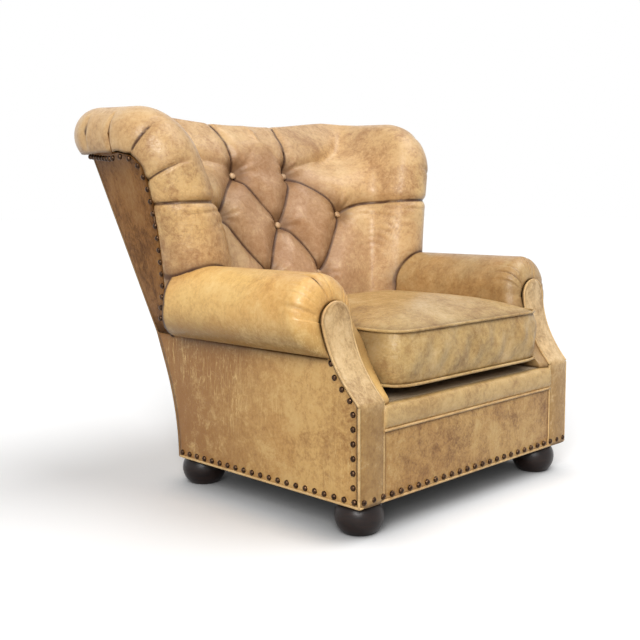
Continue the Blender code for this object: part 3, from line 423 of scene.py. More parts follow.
@dataclass(frozen=True)
class RollLine:
    """Centre line of the rolled edge on the right side, from the seat to the middle of the crest.

    Five stretches, each one unit of the parameter long: up the wing with a growing flare, front
    bend, back along the wing's top, rear bend, and along the crest with an even sag.
    """

    foot: Triple = (0.375, 0.0925, 0.2973)
    wing_end: Triple = (0.455, 0.1275, 0.830)
    flare: float = 2.5
    corner: Triple = (0.488, 0.4195, 0.925)
    crest_y: float = 0.3675
    crest_z: float = 0.878
    front_reach: float = 0.070
    rear_reach: float = 0.085
    stations: tuple[float, ...] = (0.0, 1.0, 2.0, 3.0, 3.5, 4.0, 4.5, 5.0)
    radii: tuple[float, ...] = (0.094, 0.090, 0.086, 0.076, 0.073, 0.074, 0.083, 0.092)
    end_stations: tuple[float, ...] = (
        0.0, 0.3, 0.5, 0.7, 0.9, 1.0, 1.25, 1.5, 2.0, 2.5, 3.0, 3.5, 4.0, 5.0)
    ends: tuple[float, ...] = (209.0, 206.0, 196.0, 183.0, 172.0, 170.0, 178.0, 190.0, 202.0, 208.0,
                               217.0, 223.0, 221.0, 212.0)

    def radius(self, t: np.ndarray) -> np.ndarray:
        """Radius of the roll along the line."""
        return np.interp(t, self.stations, self.radii)

    def end_angle(self, t: np.ndarray) -> np.ndarray:
        """Angle at which the roll stops on the outside."""
        return np.radians(np.interp(t, self.end_stations, self.ends))

    def height(self, z: np.ndarray | float) -> np.ndarray | float:
        """Parameter on the upright stretch at height z."""
        return (z - self.foot[2]) / (self.wing_end[2] - self.foot[2])

    @staticmethod
    def _bend(corner: np.ndarray, before: np.ndarray, after: np.ndarray, reach: float,
              share: np.ndarray) -> tuple[np.ndarray, np.ndarray]:
        """Points and directions on the arc that rounds a corner, share from 0 to 1."""
        inward = unit(after - before * (before @ after))
        angle = math.acos(float(np.clip(before @ after, -1.0, 1.0)))
        start = corner - before * reach
        radius = reach / math.tan(angle / 2)
        turn = angle * share
        point = start + radius * (np.sin(turn) * before + (1 - np.cos(turn)) * inward)
        return point, np.cos(turn) * before + np.sin(turn) * inward

    def at(self, t: np.ndarray) -> tuple[np.ndarray, np.ndarray, np.ndarray]:
        """Centre, inward direction and outward-turning direction at each parameter.

        Args:
            t: Parameters from 0 to 5, of any shape.

        Returns:
            Three arrays of shape (*t.shape, 3).
        """
        t = np.asarray(t, dtype=float)
        leg = np.clip(t.astype(int), 0, 4)
        share = (t - leg)[..., None]
        foot, end = np.array(self.foot), np.array(self.wing_end)
        climb = end - foot
        rise = np.clip(t, 0.0, 1.0)[..., None]
        grow = np.concatenate([rise**self.flare, rise**self.flare, rise], axis=-1)
        lean = self.flare * rise ** (self.flare - 1)
        wing_along = unit(climb * np.concatenate([lean, lean, np.ones_like(lean)], axis=-1))
        up = unit(climb * np.array((self.flare, self.flare, 1.0)))
        front = end + up * self.front_reach
        rear = np.array(self.corner)
        back = unit(rear - front)
        across = np.array((-1.0, 0.0, 0.0))
        first, first_along = self._bend(front, up, back, self.front_reach, share)
        second, second_along = self._bend(rear, back, across, self.rear_reach, share)
        one = np.ones(1)
        top_start = self._bend(front, up, back, self.front_reach, one)[0]
        top_end = self._bend(rear, back, across, self.rear_reach, 0 * one)[0]
        crest_start = self._bend(rear, back, across, self.rear_reach, one)[0]
        reach = 1 - share
        level = np.ones_like(reach)
        drop = np.array((0.0, rear[1] - self.crest_y, rear[2] - self.crest_z))
        crest = crest_start * np.concatenate([reach, level, level], axis=-1)
        crest = crest - drop * (0.55 * (1 - reach * reach) + 0.225 * (1 - np.cos(math.pi * share)))
        legs = [leg[..., None] == k for k in range(4)]
        centre = np.select(
            legs, [foot + climb * grow, first, lerp(top_start, top_end, share), second], crest)
        along = np.select(
            legs, [wing_along, first_along, np.broadcast_to(back, centre.shape), second_along],
            np.broadcast_to(across, centre.shape))
        turned = (math.pi / 2) * np.clip(t - 3, 0.0, 1.0)
        inward = np.stack([-np.cos(turned), -np.sin(turned), 0 * turned], axis=-1)
        return centre, inward, unit(np.cross(along, inward))

    def point(self, t: np.ndarray, angle: np.ndarray) -> np.ndarray:
        """Points on the roll: angle 0 faces the sitter, and a quarter turn faces forward or up."""
        centre, inward, outward = self.at(t)
        angle = np.asarray(angle)[..., None]
        ring = np.cos(angle) * inward + np.sin(angle) * outward
        return centre + self.radius(t)[..., None] * ring

    def even(self, low: float, high: float, step: float) -> np.ndarray:
        """Parameters at about even steps of length between two parameters."""
        fine = np.linspace(low, high, 2000)
        length = run_along(self.at(np.minimum(fine, 4.99999))[0])
        count = int(length[-1] / step) + 1
        return np.interp(np.linspace(0.0, length[-1], count + 1), length, fine)


# Finishes
class Nodes:
    """Short way to write a node tree: adds nodes, sets their values and links them."""

    def __init__(self, tree: bpy.types.NodeTree) -> None:
        """Starts on a tree."""
        self.tree = tree

    def add(self, kind: str, inputs: dict | None = None, **values: object) -> bpy.types.Node:
        """Adds a node.

        Args:
            kind: Node type, without its ShaderNode prefix.
            inputs: Sockets or plain values for its inputs.
            **values: Properties of the node.

        Returns:
            The new node.
        """
        node = self.tree.nodes.new("ShaderNode" + kind)
        for key, value in values.items():
            setattr(node, key, value)
        self.fill(node, inputs or {})
        return node

    def fill(self, node: bpy.types.Node, inputs: dict) -> None:
        """Links sockets into inputs of a node, or sets them to plain values."""
        for key, value in inputs.items():
            socket = node.inputs[key]
            if isinstance(value, bpy.types.NodeSocket):
                self.tree.links.new(value, socket)
            elif socket.type == "RGBA":
                socket.default_value = (*value, 1.0)
            else:
                socket.default_value = value

    def noise(self, vector: bpy.types.NodeSocket, scale: float, detail: float = 4.0,
              rough: float = 0.55, distortion: float = 0.0) -> bpy.types.NodeSocket:
        """Noise of a scale on a vector, as a value about 0.5."""
        return self.add("TexNoise", {
            "Vector": vector, "Scale": scale, "Detail": detail, "Roughness": rough,
            "Distortion": distortion}).outputs[0]

    def math(self, operation: str, a: object, b: object = 0.0) -> bpy.types.NodeSocket:
        """One step of arithmetic on values."""
        return self.add("Math", {0: a, 1: b}, operation=operation).outputs[0]

    def times(self, a: object, b: object) -> bpy.types.NodeSocket:
        """Product of two values."""
        return self.math("MULTIPLY", a, b)

    def plus(self, a: object, b: object) -> bpy.types.NodeSocket:
        """Sum of two values."""
        return self.math("ADD", a, b)

    def ridge(self, value: bpy.types.NodeSocket) -> bpy.types.NodeSocket:
        """Distance of a noise from its middle."""
        return self.math("ABSOLUTE", self.math("SUBTRACT", value, 0.5))

    def ramp(self, value: object, low: float, high: float) -> bpy.types.NodeSocket:
        """Value from 0 at low to 1 at high, held between them."""
        sockets = {"Value": value, "From Min": low, "From Max": high}
        return self.add("MapRange", sockets, clamp=True).outputs[0]

    def mix(self, share: object, a: object, b: object) -> bpy.types.NodeSocket:
        """Mixes two colours."""
        return self.add("Mix", {0: share, 6: a, 7: b}, data_type="RGBA").outputs[2]

    def coords(self) -> bpy.types.NodeSocket:
        """Object coordinates."""
        return self.add("TexCoord").outputs["Object"]

    def mapped(self, scale: Triple = (1.0, 1.0, 1.0), turn: Triple = (0.0, 0.0, 0.0),
               shift: Triple = (0.0, 0.0, 0.0)) -> bpy.types.NodeSocket:
        """Object coordinates, scaled, turned and shifted."""
        return self.add("Mapping", {
            "Vector": self.coords(), "Scale": scale, "Rotation": turn,
            "Location": shift}).outputs[0]

    def mark(self, name: str) -> bpy.types.NodeSocket:
        """Value of a mesh's own attribute."""
        return self.add("Attribute", attribute_name=name).outputs["Fac"]

    def group(self, tree: bpy.types.NodeTree, **values: object) -> bpy.types.Node:
        """Places a node group and sets its inputs."""
        return self.add("Group", values, node_tree=tree)

    def bump(self, height: object, strength: float, distance: float) -> bpy.types.NodeSocket:
        """Normal of a surface that is raised by a height."""
        sockets = {"Strength": strength, "Distance": distance, "Height": height}
        return self.add("Bump", sockets).outputs["Normal"]

    def straight(self) -> bpy.types.NodeSocket:
        """1 for the rays that show the white background: camera, glossy and transmission rays."""
        seen = self.add("LightPath").outputs
        shown = self.math("MAXIMUM", seen["Is Camera Ray"], seen["Is Glossy Ray"])
        return self.math("MAXIMUM", shown, seen["Is Transmission Ray"])


def new_group(name: str, inputs: dict[str, float], outputs: tuple[str, ...]
              ) -> tuple[Nodes, dict, bpy.types.Node]:
    """Starts a shader node group with named float sockets.

    Args:
        name: Name of the group.
        inputs: Inputs and their defaults.
        outputs: Output names.

    Returns:
        The node writer, the sockets that the inputs give, and the node that takes the outputs.
    """
    tree = bpy.data.node_groups.new(name, "ShaderNodeTree")
    for key, value in inputs.items():
        socket = tree.interface.new_socket(key, in_out="INPUT", socket_type="NodeSocketFloat")
        socket.default_value = value
    for key in outputs:
        tree.interface.new_socket(key, in_out="OUTPUT", socket_type="NodeSocketFloat")
    start, end = tree.nodes.new("NodeGroupInput"), tree.nodes.new("NodeGroupOutput")
    return Nodes(tree), {socket.name: socket for socket in start.outputs if socket.name}, end


def new_material(name: str) -> tuple[bpy.types.Material, Nodes, bpy.types.Node]:
    """Starts a material: the material, its node writer and its shader."""
    made = bpy.data.materials.new(name)
    made.use_nodes = True
    return made, Nodes(made.node_tree), made.node_tree.nodes["Principled BSDF"]


class LeatherGroups:
    """Node groups that every leather finish shares: clouding, scratches and pebble grain."""

    CLOUDS = ((6.5, 0.62, 0.6, 0.40), (32.0, 0.72, 0.8, 0.32), (115.0, 0.75, 0.3, 0.28))
    SCUFFS = (((0.10, 0.16, 0.3), (0.3, 0.1, 0.7)), ((-0.45, 0.20, 0.9), (1.3, 2.1, 0.2)))

    def __init__(self) -> None:
        """Builds the three groups."""
        self.cloud = self._cloud()
        self.scratch = self._scratch()
        self.grain = self._grain()

    def _cloud(self) -> bpy.types.NodeTree:
        """Mottling of pulled-up wax: broad clouds, finer ones and specks, drawn out by Streak."""
        nodes, gives, end = new_group(
            "hide_clouding", {"Size": 1.0, "Streak": 1.0}, ("Dark", "Pale", "Fleck"))
        size = gives["Size"]
        scale = nodes.add(
            "CombineXYZ", {"X": size, "Y": size, "Z": nodes.times(size, gives["Streak"])})
        place = nodes.add("VectorMath", {0: nodes.coords(), 1: scale.outputs[0]},
                          operation="MULTIPLY").outputs[0]
        total = 0.0
        for pitch, rough, distortion, share in self.CLOUDS:
            layer = nodes.noise(place, pitch, 6.0, rough, distortion)
            total = nodes.plus(total, nodes.times(layer, share))
        nodes.fill(end, {
            "Dark": nodes.ramp(total, 0.485, 0.600), "Pale": nodes.ramp(total, 0.485, 0.390),
            "Fleck": nodes.ramp(nodes.noise(place, 150.0, 4.0, 0.75), 0.56, 0.70)})
        return nodes.tree

    def _scratch(self) -> bpy.types.NodeTree:
        """Hair-fine scuffs: thin bands of two noises drawn out nearly upright, in a few patches."""
        nodes, gives, end = new_group("hide_scratches", {"Amount": 1.0}, ("Mask",))
        masks = []
        for turn, shift in self.SCUFFS:
            lines = nodes.noise(nodes.mapped((22.0, 22.0, 1.9), turn, shift), 2.6, 3.0, 0.55, 0.35)
            masks.append(nodes.ramp(nodes.ridge(lines), 0.010, 0.002))
        where = nodes.noise(nodes.mapped(shift=(4.0, 1.0, 2.0)), 5.0)
        both = nodes.times(nodes.math("MAXIMUM", *masks), nodes.ramp(where, 0.48, 0.66))
        nodes.fill(end, {"Mask": nodes.times(both, gives["Amount"])})
        return nodes.tree

    @staticmethod
    def _grain() -> bpy.types.NodeTree:
        """Height of the hide: pebble cells, pores, and soft wrinkles."""
        nodes, gives, end = new_group("hide_grain", {"Wrinkle": 1.0}, ("Height",))
        coords = nodes.coords()
        cells = nodes.add("TexVoronoi", {"Vector": coords, "Scale": 420.0}, feature="SMOOTH_F1")
        pores = nodes.times(nodes.noise(coords, 900.0, 3.0), 0.4)
        pebble = nodes.plus(cells.outputs["Distance"], pores)
        soft = nodes.noise(nodes.mapped((1.0, 1.0, 1.6)), 34.0, 4.0, 0.6, 1.2)
        wrinkle = nodes.times(nodes.ramp(nodes.ridge(soft), 0.0, 0.05), gives["Wrinkle"])
        nodes.fill(end, {"Height": nodes.plus(nodes.times(pebble, 0.35), wrinkle)})
        return nodes.tree


@dataclass(frozen=True)
class LeatherFinish:
    """Tan pull-up leather: clouded colour, flecks of wear, scuffs, painted shade in folds and a
    waxy gloss.

    The meshes' own marks steer it: crown blends in a darker tone that is partly wear and partly
    painted shade, fold a painted shade, and crease a painted shadow line.
    """

    name: str
    base: Triple = (0.60, 0.375, 0.165)
    deep: Triple = (0.29, 0.138, 0.052)
    pale: Triple = (0.70, 0.50, 0.265)
    # Colour of the painted shadow line that the crease mark draws.
    fold: Triple = (0.062, 0.022, 0.006)
    # Darker tone that the crown mark blends in: partly wear, partly painted shade.
    worn: Triple = (0.40, 0.225, 0.122)
    warm: Triple = (0.56, 0.315, 0.118)
    drift: float = 0.45
    clouding: float = 0.85
    size: float = 1.0
    streak: float = 1.0
    scratches: float = 0.3
    roughness: float = 0.30
    specular: float = 0.34
    wrinkle: float = 0.5
    # How far the crown mark blends in the darker tone of wear and painted shade.
    worn_share: float = 0.85
    fleck_share: float = 0.25
    fold_share: float = 0.75
    bump: Spot = (0.40, 0.0012)

    def make(self, groups: LeatherGroups) -> bpy.types.Material:
        """Builds the material.

        Args:
            groups: The shared leather node groups.

        Returns:
            The new material.
        """
        made, nodes, shader = new_material(self.name)
        cloud = nodes.group(groups.cloud, Size=self.size, Streak=self.streak).outputs
        scratch = nodes.group(groups.scratch, Amount=self.scratches).outputs["Mask"]
        grain = nodes.group(groups.grain, Wrinkle=self.wrinkle).outputs["Height"]
        fold = nodes.mark("fold")
        slow = nodes.noise(nodes.mapped(shift=(7.0, 3.0, 5.0)), 4.2, 5.0, 0.6)
        uneven = nodes.ramp(nodes.noise(nodes.mapped(), 17.0, 2.0), 0.32, 0.52)
        strong = nodes.plus(nodes.times(uneven, 0.30), 0.68)
        layers = (
            (nodes.times(nodes.ramp(slow, 0.42, 0.62), self.drift), self.warm),
            # Crown mark: darker tone, partly wear and partly painted shade.
            (nodes.times(nodes.mark("crown"), self.worn_share), self.worn),
            (nodes.times(cloud["Dark"], self.clouding), self.deep),
            (nodes.times(cloud["Pale"], 0.7 * self.clouding), self.pale),
            (nodes.times(cloud["Fleck"], self.fleck_share), self.deep),
            (scratch, self.pale),
            # Fold mark: painted shade in folds, seams and recesses, in half the deep tone.
            (nodes.times(fold, self.fold_share), tuple(0.5 * c for c in self.deep)),
            # Crease mark: painted shadow line in the fold colour, unevenly strong.
            (nodes.times(nodes.ramp(nodes.mark("crease"), 0.80, 0.92), strong), self.fold),
        )
        colour = self.base
        for share, tint in layers:
            colour = nodes.mix(share, colour, tint)
        rough = nodes.plus(self.roughness, nodes.times(cloud["Dark"], 0.12))
        nodes.fill(shader, {
            "Base Color": colour, "Roughness": nodes.plus(rough, nodes.times(fold, 0.2)),
            "Specular IOR Level": self.specular, "Normal": nodes.bump(grain, *self.bump)})
        return made


@dataclass(frozen=True)
class WoodFinish:
    """Wood with long streaks of grain and fine pores."""

    name: str
    base: Triple
    dark: Triple
    roughness: float
    stretch: Triple = (6.0, 6.0, 60.0)
    coat: float = 0.0

    def make(self) -> bpy.types.Material:
        """Builds the material."""
        made, nodes, shader = new_material(self.name)
        streaks = nodes.noise(nodes.mapped(self.stretch), 3.0, 5.0, 0.6, 0.8)
        pores = nodes.noise(nodes.mapped(tuple(4 * s for s in self.stretch)), 5.0, 3.0)
        dull = nodes.times(nodes.ramp(pores, 0.45, 0.7), 0.12)
        nodes.fill(shader, {
            "Base Color": nodes.mix(nodes.ramp(streaks, 0.35, 0.68), self.base, self.dark),
            "Roughness": nodes.plus(self.roughness, dull), "Specular IOR Level": 0.3,
            "Coat Weight": self.coat, "Coat Roughness": 0.22,
            "Normal": nodes.bump(pores, 0.15, 0.0006)})
        return made


@dataclass(frozen=True)
class MetalFinish:
    """Metal with a patchy patina that is duller and darker than the rubbed places."""

    name: str
    base: Triple
    patina: Triple
    roughness: float

    def make(self) -> bpy.types.Material:
        """Builds the material."""
        made, nodes, shader = new_material(self.name)
        patches = nodes.ramp(nodes.noise(nodes.mapped(), 160.0), 0.38, 0.66)
        nodes.fill(shader, {
            "Base Color": nodes.mix(patches, self.base, self.patina),
            "Roughness": nodes.plus(self.roughness, nodes.times(patches, 0.2)), "Metallic": 1.0})
        return made


@dataclass(frozen=True)
class ClothFinish:
    """Plain-woven cloth: two crossed waves for the weave, over a slightly uneven colour."""

    name: str
    base: Triple
    dark: Triple
    pitch: float = 0.0016
    roughness: float = 0.9

    def make(self) -> bpy.types.Material:
        """Builds the material."""
        made, nodes, shader = new_material(self.name)
        weave = nodes.times(*(
            nodes.add("TexWave", {
                "Vector": nodes.mapped(turn=(0.02, 0.02, 0.0)), "Scale": 0.314 / self.pitch,
                "Distortion": 0.4}, bands_direction=direction).outputs["Fac"]
            for direction in "XY"))
        cloud = nodes.noise(nodes.mapped(), 14.0)
        share = nodes.plus(nodes.times(weave, 0.55), nodes.times(cloud, 0.45))
        nodes.fill(shader, {
            "Base Color": nodes.mix(share, self.dark, self.base), "Roughness": self.roughness,
            "Normal": nodes.bump(weave, 0.4, 0.0006)})
        return made


class Finishes:
    """All materials of the chair, each built once."""

    def __init__(self) -> None:
        """Builds the materials."""
        groups = LeatherGroups()

        def leather(name: str, **values: object) -> bpy.types.Material:
            """Leather with some of its values changed."""
            return LeatherFinish("leather_" + name, **values).make(groups)

        self.back = leather("back", base=(0.68, 0.450, 0.195), clouding=0.8, wrinkle=0.6)
        self.button = leather(
            "button", base=(0.50, 0.32, 0.180), deep=(0.26, 0.14, 0.06), size=3.0, wrinkle=0.2)
        self.arm = leather(
            "arm", base=(0.74, 0.470, 0.165), deep=(0.40, 0.195, 0.055), pale=(0.84, 0.62, 0.29),
            worn=(0.33, 0.185, 0.052), warm=(0.66, 0.365, 0.110), drift=0.85, clouding=0.6,
            scratches=0.5)
        # Darker copy of the arm leather for the right arm: painted shade.
        self.shaded_far_arm = leather(
            "shaded_far_arm", base=(0.38, 0.245, 0.105), deep=(0.22, 0.110, 0.036),
            pale=(0.58, 0.41, 0.20), worn=(0.38, 0.22, 0.075), warm=(0.42, 0.225, 0.075),
            drift=0.85, clouding=0.7, scratches=0.5)
        self.outside = leather(
            "outside", base=(0.59, 0.355, 0.122), deep=(0.26, 0.115, 0.030),
            pale=(0.68, 0.46, 0.19), worn=(0.255, 0.108, 0.024), warm=(0.48, 0.250, 0.070),
            drift=0.7, clouding=0.8, size=1.1, scratches=0.9)
        self.wing = leather(
            "wing", base=(0.295, 0.128, 0.027), deep=(0.080, 0.028, 0.007),
            pale=(0.38, 0.20, 0.066), warm=(0.21, 0.082, 0.017), clouding=0.95, streak=0.8,
            scratches=0.5, specular=0.08, roughness=0.5)
        self.front = leather(
            "front", base=(0.47, 0.272, 0.088), deep=(0.165, 0.068, 0.017),
            pale=(0.60, 0.41, 0.17), warm=(0.37, 0.182, 0.049), drift=0.8, clouding=0.9, size=1.4,
            streak=0.9)
        self.facing = leather(
            "facing", base=(0.64, 0.445, 0.225), deep=(0.25, 0.130, 0.042),
            pale=(0.77, 0.58, 0.34), worn=(0.36, 0.200, 0.056), warm=(0.56, 0.35, 0.150),
            drift=0.8, streak=0.9)
        self.edge = leather(
            "edge", base=(0.55, 0.365, 0.150), deep=(0.27, 0.138, 0.045), pale=(0.66, 0.47, 0.23),
            warm=(0.44, 0.262, 0.092), drift=0.7, clouding=0.8)
        self.seat = leather(
            "seat", base=(0.50, 0.335, 0.135), deep=(0.25, 0.130, 0.043), pale=(0.68, 0.50, 0.27),
            worn=(0.47, 0.272, 0.082), warm=(0.44, 0.255, 0.088), drift=0.6, clouding=0.8,
            roughness=0.31, specular=0.28, wrinkle=0.9)
        self.welt = leather("welt", base=(0.58, 0.385, 0.17), deep=(0.34, 0.19, 0.07),
                            clouding=0.7, size=2.0, wrinkle=0.2)
        self.nails = MetalFinish(
            "nail_bronze", (0.085, 0.046, 0.025), (0.022, 0.013, 0.009), 0.28).make()
        self.steel = MetalFinish(
            "zinc_steel", (0.55, 0.55, 0.56), (0.34, 0.34, 0.35), 0.32).make()
        self.foot = WoodFinish("foot_stain", (0.014, 0.006, 0.004), (0.004, 0.002, 0.002), 0.32,
                               (5, 5, 30), 0.05).make()
        self.wood = WoodFinish("frame_beech", (0.58, 0.42, 0.25), (0.40, 0.26, 0.13), 0.62).make()
        self.jute = ClothFinish("jute", (0.50, 0.40, 0.25), (0.28, 0.20, 0.10), 0.003).make()
        self.black = ClothFinish("cambric", (0.05, 0.05, 0.052), (0.02, 0.02, 0.021)).make()
        self.deck = ClothFinish("deck_lining", (0.42, 0.32, 0.20), (0.27, 0.19, 0.11)).make()
        self.foam = ClothFinish(
            "foam_skin", (0.80, 0.74, 0.55), (0.70, 0.62, 0.42), 0.004, 0.95).make()


class Dresser:
    """Puts a finish on a piece, hangs it on its body, and reports it."""

    def __init__(self, finishes: Finishes) -> None:
        """Keeps the finishes."""
        self.finishes = finishes

    def dress(self, piece: bpy.types.Object, finish: bpy.types.Material, *nodes: str,
              slot: str = LEATHER, body: str = CHAIR, fill: float | None = None) -> None:
        """Finishes a new piece.

        Args:
            piece: The piece.
            finish: Its material.
            *nodes: CAD nodes that the piece replaces.
            slot: Material slot of the record; not used.
            body: Body that it rides on.
            fill: How full a padded piece is; not used.
        """
        piece.data.materials.clear()
        piece.data.materials.append(finish)
        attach(piece, body)
        if nodes:
            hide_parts(*nodes)
        LOG.info("%s: %d faces", piece.name, len(piece.data.polygons))


# Upholstery
@dataclass(frozen=True)
class Pleat:
    """Pleat on the unrolled hide: a curve drawn to a bend, its depth and width at both ends."""

    start: Spot
    bend: Spot
    end: Spot
    depth: Spot = (0.62, 0.62)
    half: Spot = (0.062, 0.062)
    line: float = 1.0
    faint: float = 0.012

    def groove(self, place: np.ndarray) -> tuple[np.ndarray, np.ndarray]:
        """Depth of the pleat's valley and the distance to its foot, greater for a faint line.

        The curve is the quadratic through its ends that is drawn towards its bend. The valley is
        the square of the distance from its rim, so it has a sharp foot and a soft rim.

        Args:
            place: Places of shape (..., 2) on the unrolled hide.

        Returns:
            Depths as shares of the full depth, and distances in metres.
        """
        u = np.linspace(0.0, 1.0, 33)[:, None]
        a, b, c = np.array(self.start), np.array(self.bend), np.array(self.end)
        line = (1 - u) ** 2 * a + 2 * u * (1 - u) * b + u**2 * c
        best = np.full(place.shape[:-1], FAR)
        share = np.zeros(place.shape[:-1])
        for k in range(len(line) - 1):
            step = line[k + 1] - line[k]
            along = np.clip(((place - line[k]) @ step) / (step @ step), 0.0, 1.0)
            gap = np.linalg.norm(place - line[k] - along[..., None] * step, axis=-1)
            share = np.where(gap < best, (k + along) / (len(line) - 1), share)
            best = np.minimum(best, gap)
        valley = np.clip(1 - best / lerp(*self.half, share), 0.0, 1.0) ** 2
        return lerp(*self.depth, share) * valley, best + self.faint * (1 - self.line)


@dataclass
class TuftedBack:
    """Inside back, wings and crest as one hide, drawn in along its pleats and at its buttons."""

    lines: ChairLines
    roll: RollLine
    step: float = 0.0042
    hidden_end: float = 0.28
    hidden_rows: int = 14
    back_columns: int = 84
    roll_columns: int = 34
    depth: float = 0.042
    dimple: float = 0.026
    dimple_share: float = 0.36
    edge_draw: float = 0.060
    edge_bow: float = 1.2
    row_stations: tuple[float, ...] = (0.0, 0.40, 0.73, 1.0, 2.0, 3.0, 4.0, 5.0)
    row_heights: tuple[float, ...] = (0.2973, 0.502, 0.660, 0.745, 0.795, 0.835, 0.872, 0.9212)
    crest_start: float = math.radians(28)
    crest_proud: float = 0.0111
    corner_fill: float = math.radians(16)
    ease_passes: int = 340
    ease_pull: float = 0.24
    top: Spot = (0.102, 0.838)
    mid: Spot = (0.231, 0.718)
    low: Spot = (0.100, 0.552)
    middle: Spot = (0.0, 0.693)
    short_pleats: tuple[tuple[float, float, float, float], ...] = (
        (3.03, 2.99, 140, 196), (2.25, 2.08, 134, 198), (1.56, 1.36, 100, 186),
        (1.02, 0.90, 90, 181))
    short_depth: float = 0.0075
    short_half: float = 0.017
    pucker: float = 0.0019
    pucker_count: int = 11
    pucker_ring: Spot = (0.036, 0.022)
    button_radius: float = 0.0095
    button_height: float = 0.0066
    button_lift: float = 0.009
    lining: float = 0.060
    foot_half: float = 0.400
    foot_top: float = 0.52
    arm_end: Triple = (0.413, 0.495, 0.094)
    wrinkle: float = 0.0013
    wrinkle_pitch: float = 0.021
    lip_foot: float = 0.455
    lip_rise: Spot = (math.radians(18), math.radians(62))

    def stations(self) -> np.ndarray:
        """Row parameters: coarse behind the cushion, then at even steps."""
        hidden = np.linspace(0.0, self.hidden_end, self.hidden_rows)
        return np.concatenate([hidden, self.roll.even(self.hidden_end, LINE_END, self.step)[1:]])

    def base_grid(self, t: np.ndarray) -> tuple[np.ndarray, np.ndarray, np.ndarray]:
        """Right half of the hide before it is drawn in.

        A row runs from the middle line to the roll's inner edge on a cubic that leaves square to
        the middle plane and arrives along the roll, and then round the roll to its outer end.

        Args:
            t: Row parameters.

        Returns:
            Points of shape (rows, columns, 3), the roll angle of each, and its place on the
            unrolled hide: the front view, carried on round the roll by arc length.
        """
        centre, inward, outward = self.roll.at(t)
        radius = self.roll.radius(t)[:, None]
        filled = self.corner_fill * bell(t - 3.3, 0.95)
        start = (self.crest_start * smoothstep(2.6, 4.2, t) + filled)[:, None]
        edge = centre + radius * (np.cos(start) * inward + np.sin(start) * outward)
        outward = np.cos(start) * outward - np.sin(start) * inward
        height = eased(np.array(self.row_stations), np.array(self.row_heights), t)
        depth = self.lines.spine_y(height) - self.crest_proud * smoothstep(0.76, 0.92, height)
        spine = np.stack([0 * height, depth, height], axis=-1)
        across = edge - spine
        leave = np.linalg.norm(across, axis=-1, keepdims=True) * np.array((1.0, 0.0, 0.0))
        bow = np.maximum(0.0, (across * outward).sum(axis=-1, keepdims=True))
        arrive = outward * (self.edge_draw + self.edge_bow * bow)
        s = np.linspace(0.0, 1.0, self.back_columns)[None, :, None]
        back = cubic(spine[:, None], leave[:, None], edge[:, None], arrive[:, None], s)
        share = np.linspace(0.0, 1.0, self.roll_columns + 1)[None, 1:]
        angle = lerp(start, self.roll.end_angle(t)[:, None], share)
        first, last = self.lip_rise
        rise = np.clip((angle - first) / (last - first), 0.0, 1.0)
        lift = self.roll.height(self.lip_foot) * rise * np.clip(1 - t, 0.0, 1.0)[:, None]
        rim = self.roll.point(np.minimum(t[:, None] + lift, LINE_END), angle)
        grid = self.relaxed(np.concatenate([back, rim], axis=1), t, angle - start)
        turned = (math.pi / 2) * np.clip(t - 3, 0.0, 1.0)[:, None]
        flat = grid[:, :self.back_columns, [0, 2]]
        out_x = flat[:, -1:, 0] + radius * (angle - start) * np.cos(turned)
        out_z = np.where(t[:, None] < 1, grid[:, self.back_columns:, 2], flat[:, -1:, 1])
        out_z = out_z + radius * (angle - start) * np.sin(turned)
        unrolled = np.concatenate([flat, np.stack([out_x, out_z], axis=-1)], axis=1)
        return grid, np.concatenate([np.zeros(back.shape[:2]), angle], axis=1), unrolled

    def relaxed(self, grid: np.ndarray, t: np.ndarray, round_roll: np.ndarray) -> np.ndarray:
        """Grid whose inner points are drawn again and again to the mean of their four neighbours.

        This rounds out the corners between back, wing and crest. The pull is full on the back above
        the wings' front bend, slight below it, and fades out round the roll.

        Args:
            grid: Points of shape (rows, columns, 3), the first column on the middle plane.
            t: Row parameters.
            round_roll: Angle from the start of the roll for each point of the roll's columns.

        Returns:
            The eased grid.
        """
        over = 1 - smoothstep(0.0, math.radians(50), round_roll)
        pull = np.concatenate([np.ones((len(t), self.back_columns)), over], axis=1)
        above = smoothstep(0.15, 0.35, t) * (0.22 + 0.78 * smoothstep(0.9, 1.8, t))
        pull = (self.ease_pull * pull * above[:, None])[1:-1, :-1, None]
        grid = grid.copy()
        grid[-1, :, 0] = 0.0
        grid[:, 0, 0] = 0.0
        for _ in range(self.ease_passes):
            inner = grid[1:-1, :-1]
            mirror = grid[1:-1, 1:2] * Side.LEFT.flip
            left = np.concatenate([mirror, grid[1:-1, :-2]], axis=1)
            grid[1:-1, :-1] = inner + pull * (
                left + grid[1:-1, 1:] + grid[:-2, :-1] + grid[2:, :-1] - 4 * inner)
        grid[:, 0, 0] = 0.0
        return grid

    def pleats(self) -> tuple[Pleat, ...]:
        """Pleats of the right half, from button to button and out over the crest, wing and seat."""
        return (
            Pleat(self.top, (0.062, 0.765), self.middle),
            Pleat(self.top, (0.190, 0.796), self.mid),
            Pleat(self.middle, (0.068, 0.636), self.low),
            Pleat(self.mid, (0.176, 0.622), self.low),
            Pleat(self.top, (0.112, 0.880), (0.128, 1.130), (0.60, 0.07), (0.055, 0.010)),
            Pleat(self.mid, (0.300, 0.768), (0.640, 0.738), (0.62, 0.14), (0.055, 0.014)),
            Pleat(self.mid, (0.320, 0.738), (0.520, 0.716), (0.26, 0.03), (0.030, 0.012), 0.62),
            Pleat(self.mid, (0.320, 0.712), (0.470, 0.680), (0.20, 0.02), (0.028, 0.012), 0.55),
            Pleat(self.top, (0.180, 0.862), (0.270, 0.872), (0.24, 0.0), (0.040, 0.016), 0.4),
            Pleat(self.top, (0.060, 0.868), (0.030, 0.900), (0.22, 0.0), (0.036, 0.016), 0.4),
            Pleat(self.low, (0.104, 0.400), (0.105, 0.200), (0.55, 0.40), (0.055, 0.045)),
        )

